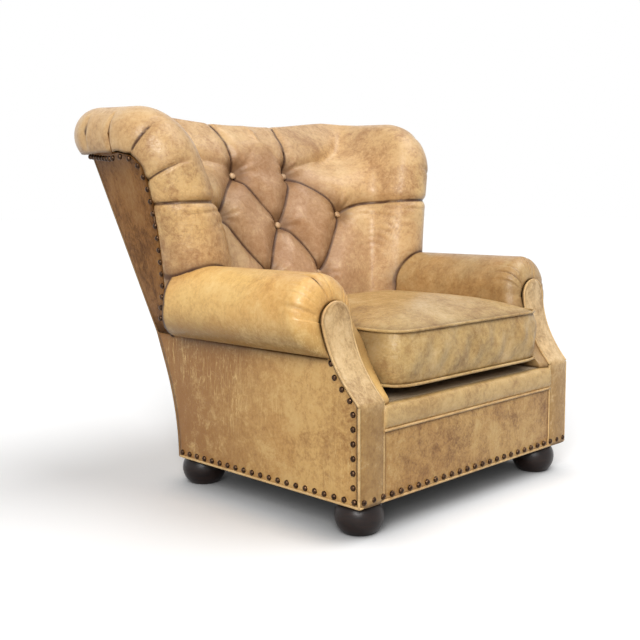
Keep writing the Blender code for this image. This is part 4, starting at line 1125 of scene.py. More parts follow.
    def drawn(self, place: np.ndarray) -> tuple[np.ndarray, np.ndarray, np.ndarray]:
        """How far the hide is drawn in at places of the unrolled hide.

        Valleys of the pleats add as a fourth-power mean, so the tufts between them stay round, and
        each button adds a bell-shaped dimple.

        Args:
            place: Places of shape (..., 2).

        Returns:
            Depths in metres, distances to the nearest pleat, and distances to the nearest button.
        """
        place = np.stack([np.abs(place[..., 0]), place[..., 1]], axis=-1)
        total = np.zeros(place.shape[:-1])
        near = np.full(place.shape[:-1], FAR)
        for pleat in self.pleats():
            groove, gap = pleat.groove(place)
            total += groove**4
            near = np.minimum(near, gap)
        depth = self.depth * total**0.25
        button = np.full(place.shape[:-1], FAR)
        ring, width = self.pucker_ring
        for spot in (self.top, self.mid, self.low, self.middle):
            away = place - np.array(spot)
            gap = np.linalg.norm(away, axis=-1)
            turn = np.arctan2(away[..., 1], away[..., 0])
            ripple = np.cos(self.pucker_count * turn + 40 * spot[1])
            depth += self.pucker * ripple * bell(gap - ring, width)
            depth += self.dimple_share * self.depth * bell(gap, self.dimple)
            button = np.minimum(button, gap)
        return depth, near, button

    def short(self, t: np.ndarray, angle: np.ndarray) -> tuple[np.ndarray, np.ndarray]:
        """Short pleats across the roll, each from one station and angle to another.

        Args:
            t: Row parameters.
            angle: Roll angle of each point, of shape (rows, columns).

        Returns:
            Depths in metres, and distances to the nearest pleat, which grow towards its ends.
        """
        fine = np.linspace(0.0, LINE_END, 900)
        length = run_along(self.roll.at(fine)[0])
        along = np.interp(t, fine, length)[:, None]
        radius = self.roll.radius(t)[:, None]
        depth, near = np.zeros(angle.shape), np.full(angle.shape, FAR)
        for first, last, low, high in self.short_pleats:
            low, high = math.radians(low), math.radians(high)
            share = np.clip((angle - low) / (high - low), 0.0, 1.0)
            middle = np.interp(lerp(first, last, share), fine, length)
            beyond = radius * np.maximum(0.0, np.maximum(low - angle, angle - high))
            ends = np.sin(0.5 * math.pi * np.clip(1.5 * share, 0.0, 1.0))
            gap = np.hypot(along - middle, beyond) + 0.005 * (1 - ends)
            valley = np.clip(1 - gap / self.short_half, 0.0, 1.0) ** 2
            depth = np.maximum(depth, self.short_depth * valley)
            near = np.minimum(near, gap)
        return depth, near

    def wrinkles(self, grid: np.ndarray) -> tuple[np.ndarray, np.ndarray]:
        """Level wrinkles of the wing's inner face below its pleat: a bent sine of height.

        Args:
            grid: Points of the hide's right half.

        Returns:
            Strength from 0 to 1, and the wave from -1 to 1, of each point.
        """
        x, y, z = np.moveaxis(grid, -1, 0)
        window = bell(x - 0.335, 0.050) * smoothstep(0.560, 0.620, z) * smoothstep(0.735, 0.700, z)
        bent = z - 0.16 * y + 0.007 * np.sin(38 * y + 21 * z) + 0.004 * np.sin(95 * x - 30 * z)
        patchy = 0.55 + 0.45 * np.sin(47 * z + 31 * y)
        return window * patchy, np.sin(FULL_TURN * bent / self.wrinkle_pitch)

    def beside_arm(self, grid: np.ndarray) -> np.ndarray:
        """Distance of points of the hide from the line where the arm pad meets it."""
        x, z = grid[..., 0], grid[..., 2]
        arm_x, arm_z, arm_r = self.arm_end
        round_arm = np.hypot(x - arm_x, z - arm_z) - arm_r
        gap = np.where((z > arm_z) | (x > arm_x), round_arm, arm_x - arm_r - x)
        return np.abs(gap) + np.clip(0.30 - z, 0.0, 1.0)

    def surface(self, t: np.ndarray, grid: np.ndarray, angle: np.ndarray,
                place: np.ndarray) -> tuple[np.ndarray, Marks]:
        """Right half of the hide, drawn in along its normals, with its marks for the finish.

        Args:
            t: Row parameters.
            grid: Points before they are drawn in.
            angle: Roll angle of each.
            place: Place of each on the unrolled hide.

        Returns:
            The points, and the marks: crease, a painted shadow line along the pleats and beside the
            arm; fold, painted shade in the pleats, dimples, short pleats, wrinkles, under the
            roll's lip and beside the arm; and crown, a darker tone that leaves a band of the wing
            roll paler as a painted highlight.
        """
        normals = grid_normals(grid)
        normals[-1] = normals[-2]
        column = self.back_columns // 2
        normals *= np.sign((normals[:, column] @ self.lines.back_axis()).sum())
        depth, near, button = self.drawn(place)
        extra, close = self.short(t, angle)
        near = np.minimum(near, 1.3 * close)
        fade = 1 - smoothstep(3.0, 3.6, angle)
        # Painted shade along the roll's outer end, under its lip.
        lip = 0.6 * bell((angle[:, -1:] - angle) * self.roll.radius(t)[:, None], 0.009)
        wrinkled, wave = self.wrinkles(grid)
        drawn = depth * fade + extra + self.wrinkle * wrinkled * wave
        grid = grid - normals * drawn[..., None]
        grid[-1, :, 0] = 0.0
        grid[:, 0, 0] = 0.0
        x, z = grid[..., 0], grid[..., 2]
        inside = self.foot_half + 0.12 * smoothstep(0.43, self.foot_top, z)
        x[...] = np.where(z < self.foot_top, np.minimum(x, inside), x)
        # Distance from the arm's contact line, for a painted contact shadow there.
        beside = self.beside_arm(grid)
        # Band of the wing roll left out of the darker tone: a painted highlight.
        level = smoothstep(0.625, 0.680, z) * smoothstep(0.850, 0.790, z)
        pale = smoothstep(0.400, 0.440, x) * level
        across, up = place[..., 0], place[..., 1]
        middle = np.exp(-((across / (0.27 + 0.13 * smoothstep(0.74, 0.60, up))) ** 4))
        marks = {
            # Painted shadow line along the pleats and where the arm meets the hide.
            "crease": np.maximum(np.clip(1 - near / 0.03, 0.0, 1.0) * fade,
                                 np.clip(1 - beside / 0.04, 0.0, 1.0)),
            # Painted shade: round the buttons, in the pleat valleys and short pleats, under the
            # roll's lip, beside the arm, and in the wrinkle troughs.
            "fold": np.clip(0.85 * bell(button, 0.028) * fade + 0.85 * fade * depth / self.depth
                            + 40 * extra + lip + 0.8 * bell(beside, 0.018)
                            + 0.35 * wrinkled * np.clip(wave, 0.0, 1.0), 0.0, 1.0),
            # Darker tone, full over the middle of the back and partial elsewhere, except the
            # painted highlight band.
            "crown": np.maximum(middle * smoothstep(0.98, 0.86, up), 0.42 * (1 - pale)),
        }
        return grid, marks

    def build(self, dresser: Dresser) -> None:
        """Builds the hide, closed by a plain lining behind it, and its buttons."""
        t = self.stations()
        base, angle, place = self.base_grid(t)
        grid, marks = self.surface(t, base, angle, place)
        centre, inward, _ = self.roll.at(t)
        axis = self.lines.back_axis()
        inside = centre + 0.3 * self.roll.radius(t)[:, None] * inward
        behind = base[:, self.back_columns // 2] - self.lining * axis
        spine = base[:, 0] - self.lining * axis
        lining = np.stack([inside, behind, spine], axis=1)
        lining[-1, :, 0] = 0.0
        whole = np.concatenate([grid, lining], axis=1)
        rows, columns = whole.shape[:2]
        half = whole.reshape(-1, 3)
        quads = grid_faces(rows, columns)
        points = np.concatenate([half, half * Side.LEFT.flip])
        faces = np.concatenate([quads, quads[:, ::-1] + len(half)])
        foot = np.arange(columns)
        wide = {key: np.tile(np.pad(values, ((0, 0), (0, lining.shape[1]))).ravel(), 2)
                for key, values in marks.items()}
        hide = make_mesh("back_hide", points, faces, wide, weld=2e-5,
                         caps=(foot[::-1], foot + len(half)))
        dresser.dress(hide, dresser.finishes.back, "inside_back", "back_roll", fill=0.8)
        self.build_buttons(grid.reshape(-1, 3), place.reshape(-1, 2), dresser)

    def build_buttons(self, points: np.ndarray, places: np.ndarray, dresser: Dresser) -> None:
        """Builds the covered buttons: low domes of revolution that stand in their dimples.

        Args:
            points: Points of the hide's right half.
            places: Their places on the unrolled hide.
            dresser: Dresses the pieces.
        """
        axis = self.lines.back_axis()
        across = np.array((1.0, 0.0, 0.0))
        upright = np.cross(axis, across)
        left, right = Side
        spots = ((left, self.top), (right, self.top), (left, self.mid), (right, self.middle),
                 (right, self.mid), (left, self.low), (right, self.low))
        height = np.array((-1.0, -1.0, 0.0, 0.25, 0.5, 0.72, 0.88, 0.97, 1.0, 1.0))
        radius = np.array((0.0, 0.92, 1.0, 1.06, 1.0, 0.86, 0.66, 0.40, 0.18, 0.0))
        turn = round_turn(28)
        ring = np.cos(turn)[:, None] * across + np.sin(turn)[:, None] * upright
        dome = ((self.button_height * height)[:, None, None] * axis
                + (self.button_radius * radius)[:, None, None] * ring)
        faces = grid_faces(len(height), len(turn), wrap=True)
        for number, (side, spot) in enumerate(spots, start=1):
            near = np.argmin(((places - np.array(spot)) ** 2).sum(axis=1))
            seat = points[near] * side.flip + self.button_lift * axis
            button = make_mesh("button_%d" % number, seat + dome, faces)
            dresser.dress(button, dresser.finishes.button, "tuft_button_%d" % number)


@dataclass
class ArmPad:
    """Rolled arm with its padded inside: an arch at the facing that rounds to the full roll."""

    lines: ChairLines
    roll: RollLine
    arch: Triple = (0.402, 0.481, 0.045)
    full: Triple = (0.413, 0.495, 0.094)
    inner: float = 0.315
    lip_x: float = 0.436
    round: float = 0.045
    strip: float = 0.25
    rear_y: float = 0.092
    trail: float = 0.045
    tuck: float = 0.004
    play: float = 0.001
    pleat: float = 0.0058
    pleats: int = 10
    skin: float = 0.006
    bulge: float = 0.006
    puff: float = 0.0045
    front_rows: int = 16
    rear_rows: int = 60
    roll_columns: int = 180
    wall_columns: int = 30

    @property
    def lip(self) -> float:
        """Angle below level at which the roll's leather ends under the arm."""
        return math.acos((self.lip_x - self.full[0]) / self.full[2])

    def surface(self) -> tuple[np.ndarray, np.ndarray]:
        """Outer side of the right arm pad.

        Across, the section is the roll's circle from its lip under the arm to its inner side, and
        then the inside wall down to the deck. Along, a quarter ellipse carries the section from
        the facing's arch to the full roll, and straight lines carry it back to the wing.

        Returns:
            Points of shape (rows, columns, 3), and the depth of the front pleats at each.
        """
        turn = np.linspace(0.0, math.pi / 2, self.front_rows)
        angle = lerp(-self.lip, math.pi, np.linspace(0.0, 1.0, self.roll_columns)[None, :])
        down = np.linspace(0.0, 1.0, self.wall_columns)[None, 1:]
        under = np.clip(-angle / self.lip, 0.0, 1.0)
        front = self.front(turn, angle, down, under)
        crease = self.creases(angle, down)
        fade = np.sin(np.linspace(0.0, math.pi, len(turn) + 5))[:len(turn), None]
        along = np.linspace(0.0, 1.0, self.rear_rows)[1:, None]
        last = front[-1]
        end = self.rear_end(last, np.concatenate([under[0], np.zeros(down.shape[1])]))
        rear = np.repeat(last[None], len(along), axis=0)
        rear[..., 1] = lerp(last[:, 1], end, along)
        decay = np.exp(-along * 22) * fade[-1] * crease
        return np.concatenate([front, rear]), np.concatenate([crease * fade, decay])

    def front(self, turn: np.ndarray, angle: np.ndarray, down: np.ndarray,
              under: np.ndarray) -> np.ndarray:
        """Front of the surface, where it rounds from the facing's arch to the full roll.

        Args:
            turn: Angle along the quarter ellipse, for each row.
            angle: Angles round the roll, as one row.
            down: Shares down the inside wall, as one row.
            under: How far each angle lies under the roll, from 0 to 1.

        Returns:
            Points of shape (rows, columns, 3).
        """
        lines = self.lines
        blend = np.sin(turn)[:, None]
        offset = (self.round * (1 - np.cos(turn)))[:, None]
        arch, full = self.arch, self.full
        centre_x, centre_z, radius = (lerp(arch[k], full[k], blend) for k in range(3))
        edge_z = lerp(arch[1], full[1] - full[2] * math.sin(self.lip), under)
        edge_x = arch[0] + arch[2] + (lines.front_half - arch[0] - arch[2]) * (
            (arch[1] - edge_z) / (arch[1] - lines.knee_z))
        roll_x = np.where(angle < 0, lerp(edge_x, full[0] + full[2] * np.cos(angle), blend),
                          centre_x + radius * np.cos(angle))
        roll_z = np.where(angle < 0, lerp(edge_z, full[1] + full[2] * np.sin(angle), blend),
                          centre_z + radius * np.sin(angle))
        wall_x = lerp(lines.facing_inner, self.inner, blend)
        bulge = self.bulge * np.sin(math.pi * down) * blend
        side_x = lerp(centre_x - radius, wall_x, down) - bulge
        side_z = lerp(centre_z, lines.deck_top, down)
        top_y = float(lines.sweep_y(lines.sweep_top))
        flush = 1 - (1 - self.strip) * smoothstep(0.0, 0.35, down)
        roll_y = np.where(angle < 0, lines.sweep_y(edge_z), top_y) + (
            lines.front_skin + self.play + offset)
        side_y = lines.sweep_y(side_z) + lines.front_skin * flush + self.play + offset * flush
        return np.stack([np.concatenate(pair, axis=1) for pair in (
            (roll_x, side_x), (roll_y, side_y), (roll_z, side_z))], axis=-1)

    def creases(self, angle: np.ndarray, down: np.ndarray) -> np.ndarray:
        """Depth of the front pleats across the section: bells at uneven steps round the roll.

        Args:
            angle: Angles round the roll, as one row.
            down: Shares down the inside wall, as one row.

        Returns:
            Depths from 0 to 1, as one row.
        """
        ring = np.concatenate([angle, math.pi + 0 * down], axis=1) * self.pleats / math.pi
        ring = ring + 0.22 * np.sin(2.3 * ring + 0.7)
        strong = 0.55 + 0.45 * np.sin(1.7 * np.round(ring) + 0.4)
        over = np.concatenate([np.clip(angle / 0.5, 0, 1), np.exp(-down * 6)], axis=1)
        return strong * bell(np.abs(ring - np.round(ring)), 0.10) * over

    def rear_end(self, section: np.ndarray, under: np.ndarray) -> np.ndarray:
        """Depth at which each point of the full section meets the wing's roll.

        Args:
            section: Points of the section.
            under: How far each lies under the roll, from 0 to 1.

        Returns:
            Depths.
        """
        centre = self.roll.at(np.clip(self.roll.height(section[:, 2]), 0.0, 1.0))[0]
        gap = self.roll.radius(np.clip(self.roll.height(0.5), 0, 1)) + self.play
        side = np.clip(1 - ((section[:, 0] - centre[:, 0]) / gap) ** 2, 0.0, None)
        clear = (section[:, 0] > centre[:, 0] + 0.8 * gap) | (under > 0)
        meets = centre[:, 1] - gap * np.sqrt(side) + self.tuck
        return np.where(clear, self.rear_y, meets) + self.trail * under

    def build(self, side: Side, dresser: Dresser) -> None:
        """Builds the arm pad of one side: a skin of even thickness behind its surface."""
        grid, pleat = self.surface()
        normals = grid_normals(grid)
        out = grid - np.array((self.full[0], 0.0, self.full[1]))
        normals = normals * np.sign((normals * out).sum(axis=-1, keepdims=True))
        grid = grid - normals * (self.pleat * pleat)[..., None]
        out = out * side.flip
        grid = grid * side.flip
        x, y, z = np.moveaxis(grid, -1, 0)
        # Painted shadow line along the rear end, where the arm meets the wing.
        behind = np.clip(1 - (y[-1:] - y) / 0.045, 0.0, 1.0)
        # Painted shade on the inside wall beside the cushion.
        beside = smoothstep(-0.475, -0.40, y) * smoothstep(0.49, 0.43, z)
        # Painted shade along the rims, in the seams.
        edges = np.maximum(0.85 * rim_mark(grid, 0.007), beside * (np.abs(x) < self.full[0] - 0.05))
        normals = grid_normals(grid)
        turn = np.sign((normals * out).sum(axis=-1, keepdims=True))
        back = grid - normals * np.where(turn == 0, 1, turn) * self.skin
        piece = slab(side.named("arm_hide"), grid, back, {
            # Fold: painted shade at the rims, beside the cushion and in the front pleats. Crease:
            # painted shadow lines at the rear end and in the pleats.
            "fold": np.maximum(edges, pleat * 0.75),
            "crease": np.maximum(behind, np.clip(1.12 * pleat, 0.0, 1.0)),
            # Crown here is painted shade under the roll's outer side.
            "crown": smoothstep(0.500, 0.412, z) * (np.abs(x) > self.full[0])})
        # The right arm takes the darker copy of the arm leather as painted shade.
        finish = dresser.finishes.arm if side is Side.LEFT else dresser.finishes.shaded_far_arm
        dresser.dress(piece, finish, side.named("arm_pad"), fill=0.9)

    def facing_edges(self, rise: np.ndarray) -> tuple[np.ndarray, np.ndarray]:
        """Inner and outer edge of the right facing at heights between its knee and its arch."""
        arch_x, arch_z, arch_r = self.arch
        inner, outer = self.lines.facing_inner, self.lines.front_half
        share = (rise - self.lines.knee_z) / (arch_z - self.lines.knee_z)
        return lerp(inner, arch_x - arch_r, share), lerp(outer, arch_x + arch_r, share)

    def facing(self, side: Side, dresser: Dresser) -> None:
        """Builds the arm's facing: upright to the knee, swept back, arched, slightly puffed."""
        lines = self.lines
        arch_x, arch_z, arch_r = self.arch
        low = np.linspace(lines.underside, lines.knee_z, 26)[:-1]
        mid = np.linspace(lines.knee_z, arch_z, 34)
        mid_inner, mid_outer = self.facing_edges(mid)
        turn = np.radians(np.linspace(0.0, 89.0, 20)[1:])
        inner = np.concatenate([
            0 * low + lines.facing_inner, mid_inner, arch_x - arch_r * np.cos(turn)])
        outer = np.concatenate([
            0 * low + lines.front_half, mid_outer, arch_x + arch_r * np.cos(turn)])
        z = np.concatenate([low, mid, arch_z + arch_r * np.sin(turn)])
        w = np.sin(np.linspace(-math.pi / 2, math.pi / 2, 25))[None, :]
        x = (inner + outer)[:, None] / 2 + (outer - inner)[:, None] / 2 * w
        full = smoothstep(0.0, 0.03, outer - inner)[:, None]
        puff = self.puff * np.sqrt(np.clip(1 - w**2, 0, 1)) * full
        y = lines.sweep_y(z)[:, None]
        front = np.stack([side.value * x, y - puff, z[:, None] + 0 * x], axis=-1)
        back = front.copy()
        back[..., 1] = y + lines.front_skin
        piece = slab(side.named("facing_hide"), front, back, {
            # Painted shade along the facing's rim; the crown mark makes it darker below the knee.
            "fold": 0.9 * rim_mark(front, 0.0045),
            "crown": smoothstep(lines.knee_z + 0.03, lines.knee_z - 0.03, z)[:, None] + 0 * x})
        dresser.dress(piece, dresser.finishes.facing, side.named("arm_facing"))


@dataclass
class OuterPanels:
    """Flat hides of the outside: arms, wings, back, and the front below the seat."""

    lines: ChairLines
    roll: RollLine
    arm_top: float = 0.4007
    puff: float = 0.0035
    back_puff: float = 0.006
    front_puff: float = 0.003
    edge_gap: float = 0.002
    wing_foot: float = 0.455
    wing_rise: float = 0.022
    tuck: float = 0.052
    patch: Spot = (-0.04, 0.375)
    rim: float = 0.0065
    shade: float = 0.95
    edge_top: float = 0.2970
    edge_depth: float = 0.034
    edge_proud: float = 0.007
    edge_power: float = 0.72

    @staticmethod
    def pillow(rows: int, columns: int, power: float = 4.0) -> np.ndarray:
        """One over the middle of a grid, falling to 0 at its rim."""
        u, v = np.linspace(-1, 1, rows)[:, None], np.linspace(-1, 1, columns)[None, :]
        return (1 - np.abs(u) ** power) * (1 - np.abs(v) ** power)

    def panel(self, name: str, front: np.ndarray, back: np.ndarray, finish: bpy.types.Material,
              node: str, dresser: Dresser, crown: np.ndarray | None = None) -> None:
        """Builds one panel with painted shade along its rim.

        Args:
            name: Name of the piece.
            front: Points of its outer side.
            back: Points of its inner side.
            finish: Its material.
            node: CAD node that it replaces.
            dresser: Dresses the piece.
            crown: Mark that blends in the darker tone.
        """
        # Painted shade along the panel's rim, in the seams.
        marks = {"fold": self.shade * rim_mark(front, self.rim)}
        if crown is not None:
            marks["crown"] = crown
        dresser.dress(slab(name, front, back, marks), finish, node)

    def outside_arm(self, side: Side, dresser: Dresser) -> None:
        """Builds the outside arm: level lines from the facing's sweep to the chair's rear."""
        lines = self.lines
        z = np.linspace(lines.underside, self.arm_top, 60)[:, None]
        share = np.linspace(0.0, 1.0, 80)[None, :]
        start = lines.sweep_y(z) + lines.front_skin + SEAM_GAP
        end = lines.rear_y(z) - lines.skin - SEAM_GAP
        y = lerp(start, end, share)
        x = np.maximum(lines.side_x(y), lines.rear_half_width)
        puff = self.puff * self.pillow(*y.shape)
        front = np.stack([side.value * (x + puff), y, z + 0 * y], axis=-1)
        back = np.stack([side.value * (x - lines.skin), y, z + 0 * y], axis=-1)
        # Darker tone towards the rear and at the front end, and in one patch.
        patch = np.exp(-(((y - self.patch[0]) / 0.15) ** 2) - ((z - self.patch[1]) / 0.060) ** 2)
        drift = smoothstep(0.05, 0.95, share) ** 1.3 + 0.10 * smoothstep(0.22, 0.08, share)
        self.panel(side.named("outside_arm_hide"), front, back, dresser.finishes.outside,
                   side.named("outside_arm"), dresser, np.clip(drift + 0.6 * patch, 0.0, 1.0))

    def wing_front(self) -> tuple[np.ndarray, np.ndarray]:
        """Front edge of the right outside wing, just behind the roll's end, and rear heights."""
        foot = self.roll.height(self.wing_foot)
        t = np.concatenate([np.linspace(foot, 1.0, 50), np.linspace(1.0, 2.0, 24)[1:]])
        point = self.roll.point(t, self.roll.end_angle(t) + self.edge_gap / self.roll.radius(t))
        point[:, 2] -= self.edge_gap
        low = np.array((self.lines.rear_half_width + self.lines.skin, point[0, 1],
                        self.lines.wing_seam_z))
        rear_z = point[:, 2] + self.wing_rise * np.maximum(0.0, t - 1)
        return np.concatenate([low[None], point]), np.concatenate([[low[2]], rear_z])

    def outside_wing(self, side: Side, dresser: Dresser) -> None:
        """Builds the outside wing: straight lines from the roll's end to the chair's rear."""
        lines = self.lines
        front_edge, rear_z = self.wing_front()
        rear_y = lines.rear_y(rear_z) - lines.skin - SEAM_GAP
        rear_edge = np.stack([lines.rear_half(rear_z), rear_y, rear_z], axis=-1)
        share = np.linspace(0.0, 1.0, 48)[None, :, None]
        front = lerp(front_edge[:, None], rear_edge[:, None], share)
        up = np.linspace(0.0, self.tuck, 6)[1:, None, None] * np.array((0.1, 0.15, 1.0))
        front = np.concatenate([front, front[-1:] + up])
        back = front - np.array((lines.skin, 0.0, 0.0))
        front[..., 0] += self.puff * self.pillow(*front.shape[:2])
        self.panel(side.named("outside_wing_hide"), front * side.flip, back * side.flip,
                   dresser.finishes.wing, side.named("outside_wing"), dresser)

    def outside_back(self, dresser: Dresser) -> None:
        """Builds the outside back between the two rear edges."""
        lines = self.lines
        crest = np.linspace(4.0, 4.99999, 20)
        top = float(self.roll.point(crest, self.roll.end_angle(crest))[:, 2].min()) + self.tuck
        z = np.linspace(lines.underside, top, 90)[:, None]
        x = lines.rear_half(z) * np.linspace(-1.0, 1.0, 90)[None, :]
        y = lines.rear_y(z) + 0 * x
        front = np.stack([x, y + self.back_puff * self.pillow(*x.shape), z + 0 * x], axis=-1)
        back = np.stack([x, y - lines.skin, z + 0 * x], axis=-1)
        self.panel("outside_back_hide", front, back, dresser.finishes.outside, "outside_back",
                   dresser)

    def front_panel(self, dresser: Dresser) -> None:
        """Builds the front panel and the padded edge roll over it."""
        lines = self.lines
        half = lines.facing_inner - SEAM_GAP
        z = np.linspace(lines.underside, lines.band_z - SEAM_GAP, 40)[:, None]
        x = np.linspace(-half, half, 120)[None, :]
        puff = self.front_puff * self.pillow(z.shape[0], x.shape[1], 6.0)
        front = np.stack([x + 0 * z, lines.front_y - puff, z + 0 * x], axis=-1)
        back = front.copy()
        back[..., 1] = lines.front_y + lines.front_skin
        self.panel("front_hide", front, back, dresser.finishes.front, "front_panel", dresser)
        turn = round_turn(48)
        low, high, deep = lines.band_z, self.edge_top, self.edge_depth
        middle_y = lines.front_y - self.edge_proud + deep / 2
        size = np.concatenate([[0.0, 0.90], np.ones(116), [0.90, 0.0]])[:, None]
        place = np.concatenate([
            [-half, -half], np.linspace(-half + 0.003, half - 0.003, 116), [half, half]])[:, None]
        grid = np.stack([
            place + 0 * turn,
            middle_y + size * deep / 2 * signed_power(np.cos(turn), self.edge_power),
            (low + high) / 2 + size * (high - low) / 2 * signed_power(
                np.sin(turn), self.edge_power)], axis=-1)
        piece = make_mesh("edge_roll_hide", grid, grid_faces(len(grid), len(turn), wrap=True))
        dresser.dress(piece, dresser.finishes.edge, "front_edge_roll", fill=0.8)


@dataclass
class SeatCushion:
    """Loose box cushion: crowned top, boxing between two welted seams."""

    lines: ChairLines
    half: float = 0.306
    front_y: float = -0.4995
    rear_y: float = 0.0535
    low: float = 0.330
    high: float = 0.455
    crown: float = 0.050
    crown_power: float = 2.6
    bulge: float = 0.011
    inset: float = 0.006
    corner_power: float = 0.2
    draw: float = 0.003
    sides: int = 240
    welt: float = 0.0036
    voxel: float = 0.0067
    frames: int = 20
    pressure: float = 4.0
    held: float = 0.007
    held_under: float = 0.012
    cap: float = 0.018
    fold: float = 0.0027

    @property
    def middle(self) -> np.ndarray:
        """Middle of the cushion in plan."""
        return np.array((0.0, (self.rear_y + self.front_y) / 2))

    def outline(self, turn: np.ndarray, inset: float) -> np.ndarray:
        """Outline in plan: a rounded rectangle whose sides pull in between corners.

        Args:
            turn: Angles round the cushion.
            inset: Distance inside the seam.

        Returns:
            Points of shape (count, 2).
        """
        x, y = (signed_power(f(turn), self.corner_power) for f in (np.cos, np.sin))
        wide = self.half - inset - self.draw * (1 - y * y)
        deep = (self.rear_y - self.front_y) / 2 - inset - self.draw * (1 - x * x)
        return self.middle + np.stack([wide * x, deep * y], axis=-1)

    def seam(self, z: float, count: int, inset: float = 0.002) -> np.ndarray:
        """Closed path of a welted seam at height z."""
        path = at_height(self.outline(np.linspace(0.0, FULL_TURN, 4000), inset), z)
        return resample(path, count + 1)[:-1]

    def form(self) -> bpy.types.Object:
        """Cushion before it is blown up: rings from the middle of its underside to its top's.

        Returns:
            A new closed object.
        """
        out = self.outline(round_turn(self.sides), self.inset) - self.middle
        drop = self.low - self.lines.deck_top - 0.003
        shares = np.linspace(0.0, 1.0, 24)
        rise = 1 - shares**self.crown_power
        rings = [(share, self.low - drop * up) for share, up in zip(shares, rise)]
        for z in np.linspace(self.low, self.high, 14)[1:-1]:
            bulge = self.bulge * math.sin(math.pi * (z - self.low) / (self.high - self.low))
            rings.append((1 + bulge / self.half, z))
        rings += [(share, self.high + self.crown * up)
                  for share, up in zip(shares[::-1], rise[::-1])]
        grid = np.stack([at_height(self.middle + out * share, z) for share, z in rings])
        return make_mesh("cushion_hide", grid, grid_faces(len(grid), self.sides, wrap=True))

    @staticmethod
    def points(mesh: bpy.types.Mesh) -> np.ndarray:
        """Points of a mesh, of shape (count, 3)."""
        found = np.empty(len(mesh.vertices) * 3, dtype=np.float32)
        mesh.vertices.foreach_get("co", found)
        return found.reshape(-1, 3)

    def inflate(self, piece: bpy.types.Object) -> None:
        """Remeshes the cushion and blows it up as cloth held at its two seams, within a cap."""
        remesh = piece.modifiers.new("remesh", "REMESH")
        remesh.mode = "VOXEL"
        remesh.voxel_size = self.voxel
        self.apply(piece)
        mesh = piece.data
        before = self.points(mesh)
        gap = np.full(len(before), 1.0)
        for z in (self.low, self.high):
            seam = self.seam(z, 700, self.inset)
            for part in np.array_split(np.arange(len(before)), 40):
                near = np.linalg.norm(before[part, None] - seam[None, ::2], axis=-1).min(axis=1)
                gap[part] = np.minimum(gap[part], near)
        under = before[:, 2] < self.lines.deck_top + self.held_under
        held = piece.vertex_groups.new(name="seam")
        held.add(np.flatnonzero((gap < self.held) | under).tolist(), 1.0, "REPLACE")
        cloth = piece.modifiers.new("cloth", "CLOTH")
        cloth.settings.use_pressure = True
        cloth.settings.uniform_pressure_force = self.pressure
        cloth.settings.vertex_group_mass = "seam"
        cloth.settings.pin_stiffness = 1.0
        cloth.settings.effector_weights.gravity = 0.0
        cloth.settings.quality = 4
        cloth.point_cache.frame_start = 1
        cloth.point_cache.frame_end = self.frames
        scene = bpy.context.scene
        for frame in range(1, self.frames + 1):
            scene.frame_set(frame)
        deps = bpy.context.evaluated_depsgraph_get()
        move = self.points(piece.evaluated_get(deps).to_mesh()) - before
        piece.evaluated_get(deps).to_mesh_clear()
        piece.modifiers.clear()
        scene.frame_set(1)
        far = np.linalg.norm(move, axis=1, keepdims=True)
        move = move * np.minimum(1.0, self.cap / np.maximum(far, 1e-9))
        mesh.vertices.foreach_set("co", (before + move).astype(np.float32).ravel())
        mesh.update()

    @staticmethod
    def apply(piece: bpy.types.Object) -> None:
        """Puts a piece's modifiers into its mesh."""
        deps = bpy.context.evaluated_depsgraph_get()
        made = bpy.data.meshes.new_from_object(piece.evaluated_get(deps))
        piece.modifiers.clear()
        piece.data = made

    def rumple(self, mesh: bpy.types.Mesh) -> None:
        """Adds soft folds to the boxing, sine waves along it, and marks a darker tone on the top,
        left paler along the front edge as a painted highlight, and painted shade at the seams,
        under the cushion and on its boxing behind the front.

        Args:
            mesh: The cushion's mesh, changed in place.
        """
        points = self.points(mesh)
        x, y, z = points.T
        share = np.clip((z - self.low) / (self.high - self.low), 0.0, 1.0)
        along = 1.3 * x + y
        wave = (np.sin(31 * along + 5 * share) + 0.7 * np.sin(58 * along - 7 * share + 1.3)
                + 0.4 * np.sin(97 * along))
        out = unit((points - np.array((*self.middle, 0.0))) * np.array((1.0, 1.0, 0.0)) + 1e-9)
        folded = points + out * (self.fold * 4 * share * (1 - share) * wave)[:, None]
        mesh.vertices.foreach_set("co", folded.astype(np.float32).ravel())
        seam = np.minimum(np.abs(z - self.low), np.abs(z - self.high))
        back = y - self.front_y
        add_marks(mesh, {
            # Crown: darker tone on the top, held back along the front edge as a painted highlight.
            "crown": smoothstep(self.high + 0.001, self.high + 0.014, z)
            * (0.2 + 0.8 * smoothstep(0.04, 0.22, back)),
            # Fold: painted shade at the two seams, under the cushion, and on the boxing behind the
            # front.
            "fold": np.maximum(0.7 * bell(seam, 0.007) + 0.5 * (z < self.low),
                               0.8 * smoothstep(0.010, 0.085, back) * (z < self.high + 0.002))})
        mesh.update()

    def build(self, dresser: Dresser) -> None:
        """Builds the cushion and its two welts."""
        piece = self.form()
        self.inflate(piece)
        self.rumple(piece.data)
        smooth = piece.modifiers.new("smooth", "SUBSURF")
        smooth.levels = 1
        smooth.render_levels = smooth.levels
        piece.data.shade_smooth()
        seat = dresser.finishes.seat
        dresser.dress(piece, seat, "seat_cushion_cover", body=CUSHION, fill=0.85)
        seams = [self.seam(z, 420) for z in (self.low, self.high)]
        dresser.dress(tube("cushion_welts", seams, self.welt, True, 10), seat, body=CUSHION)


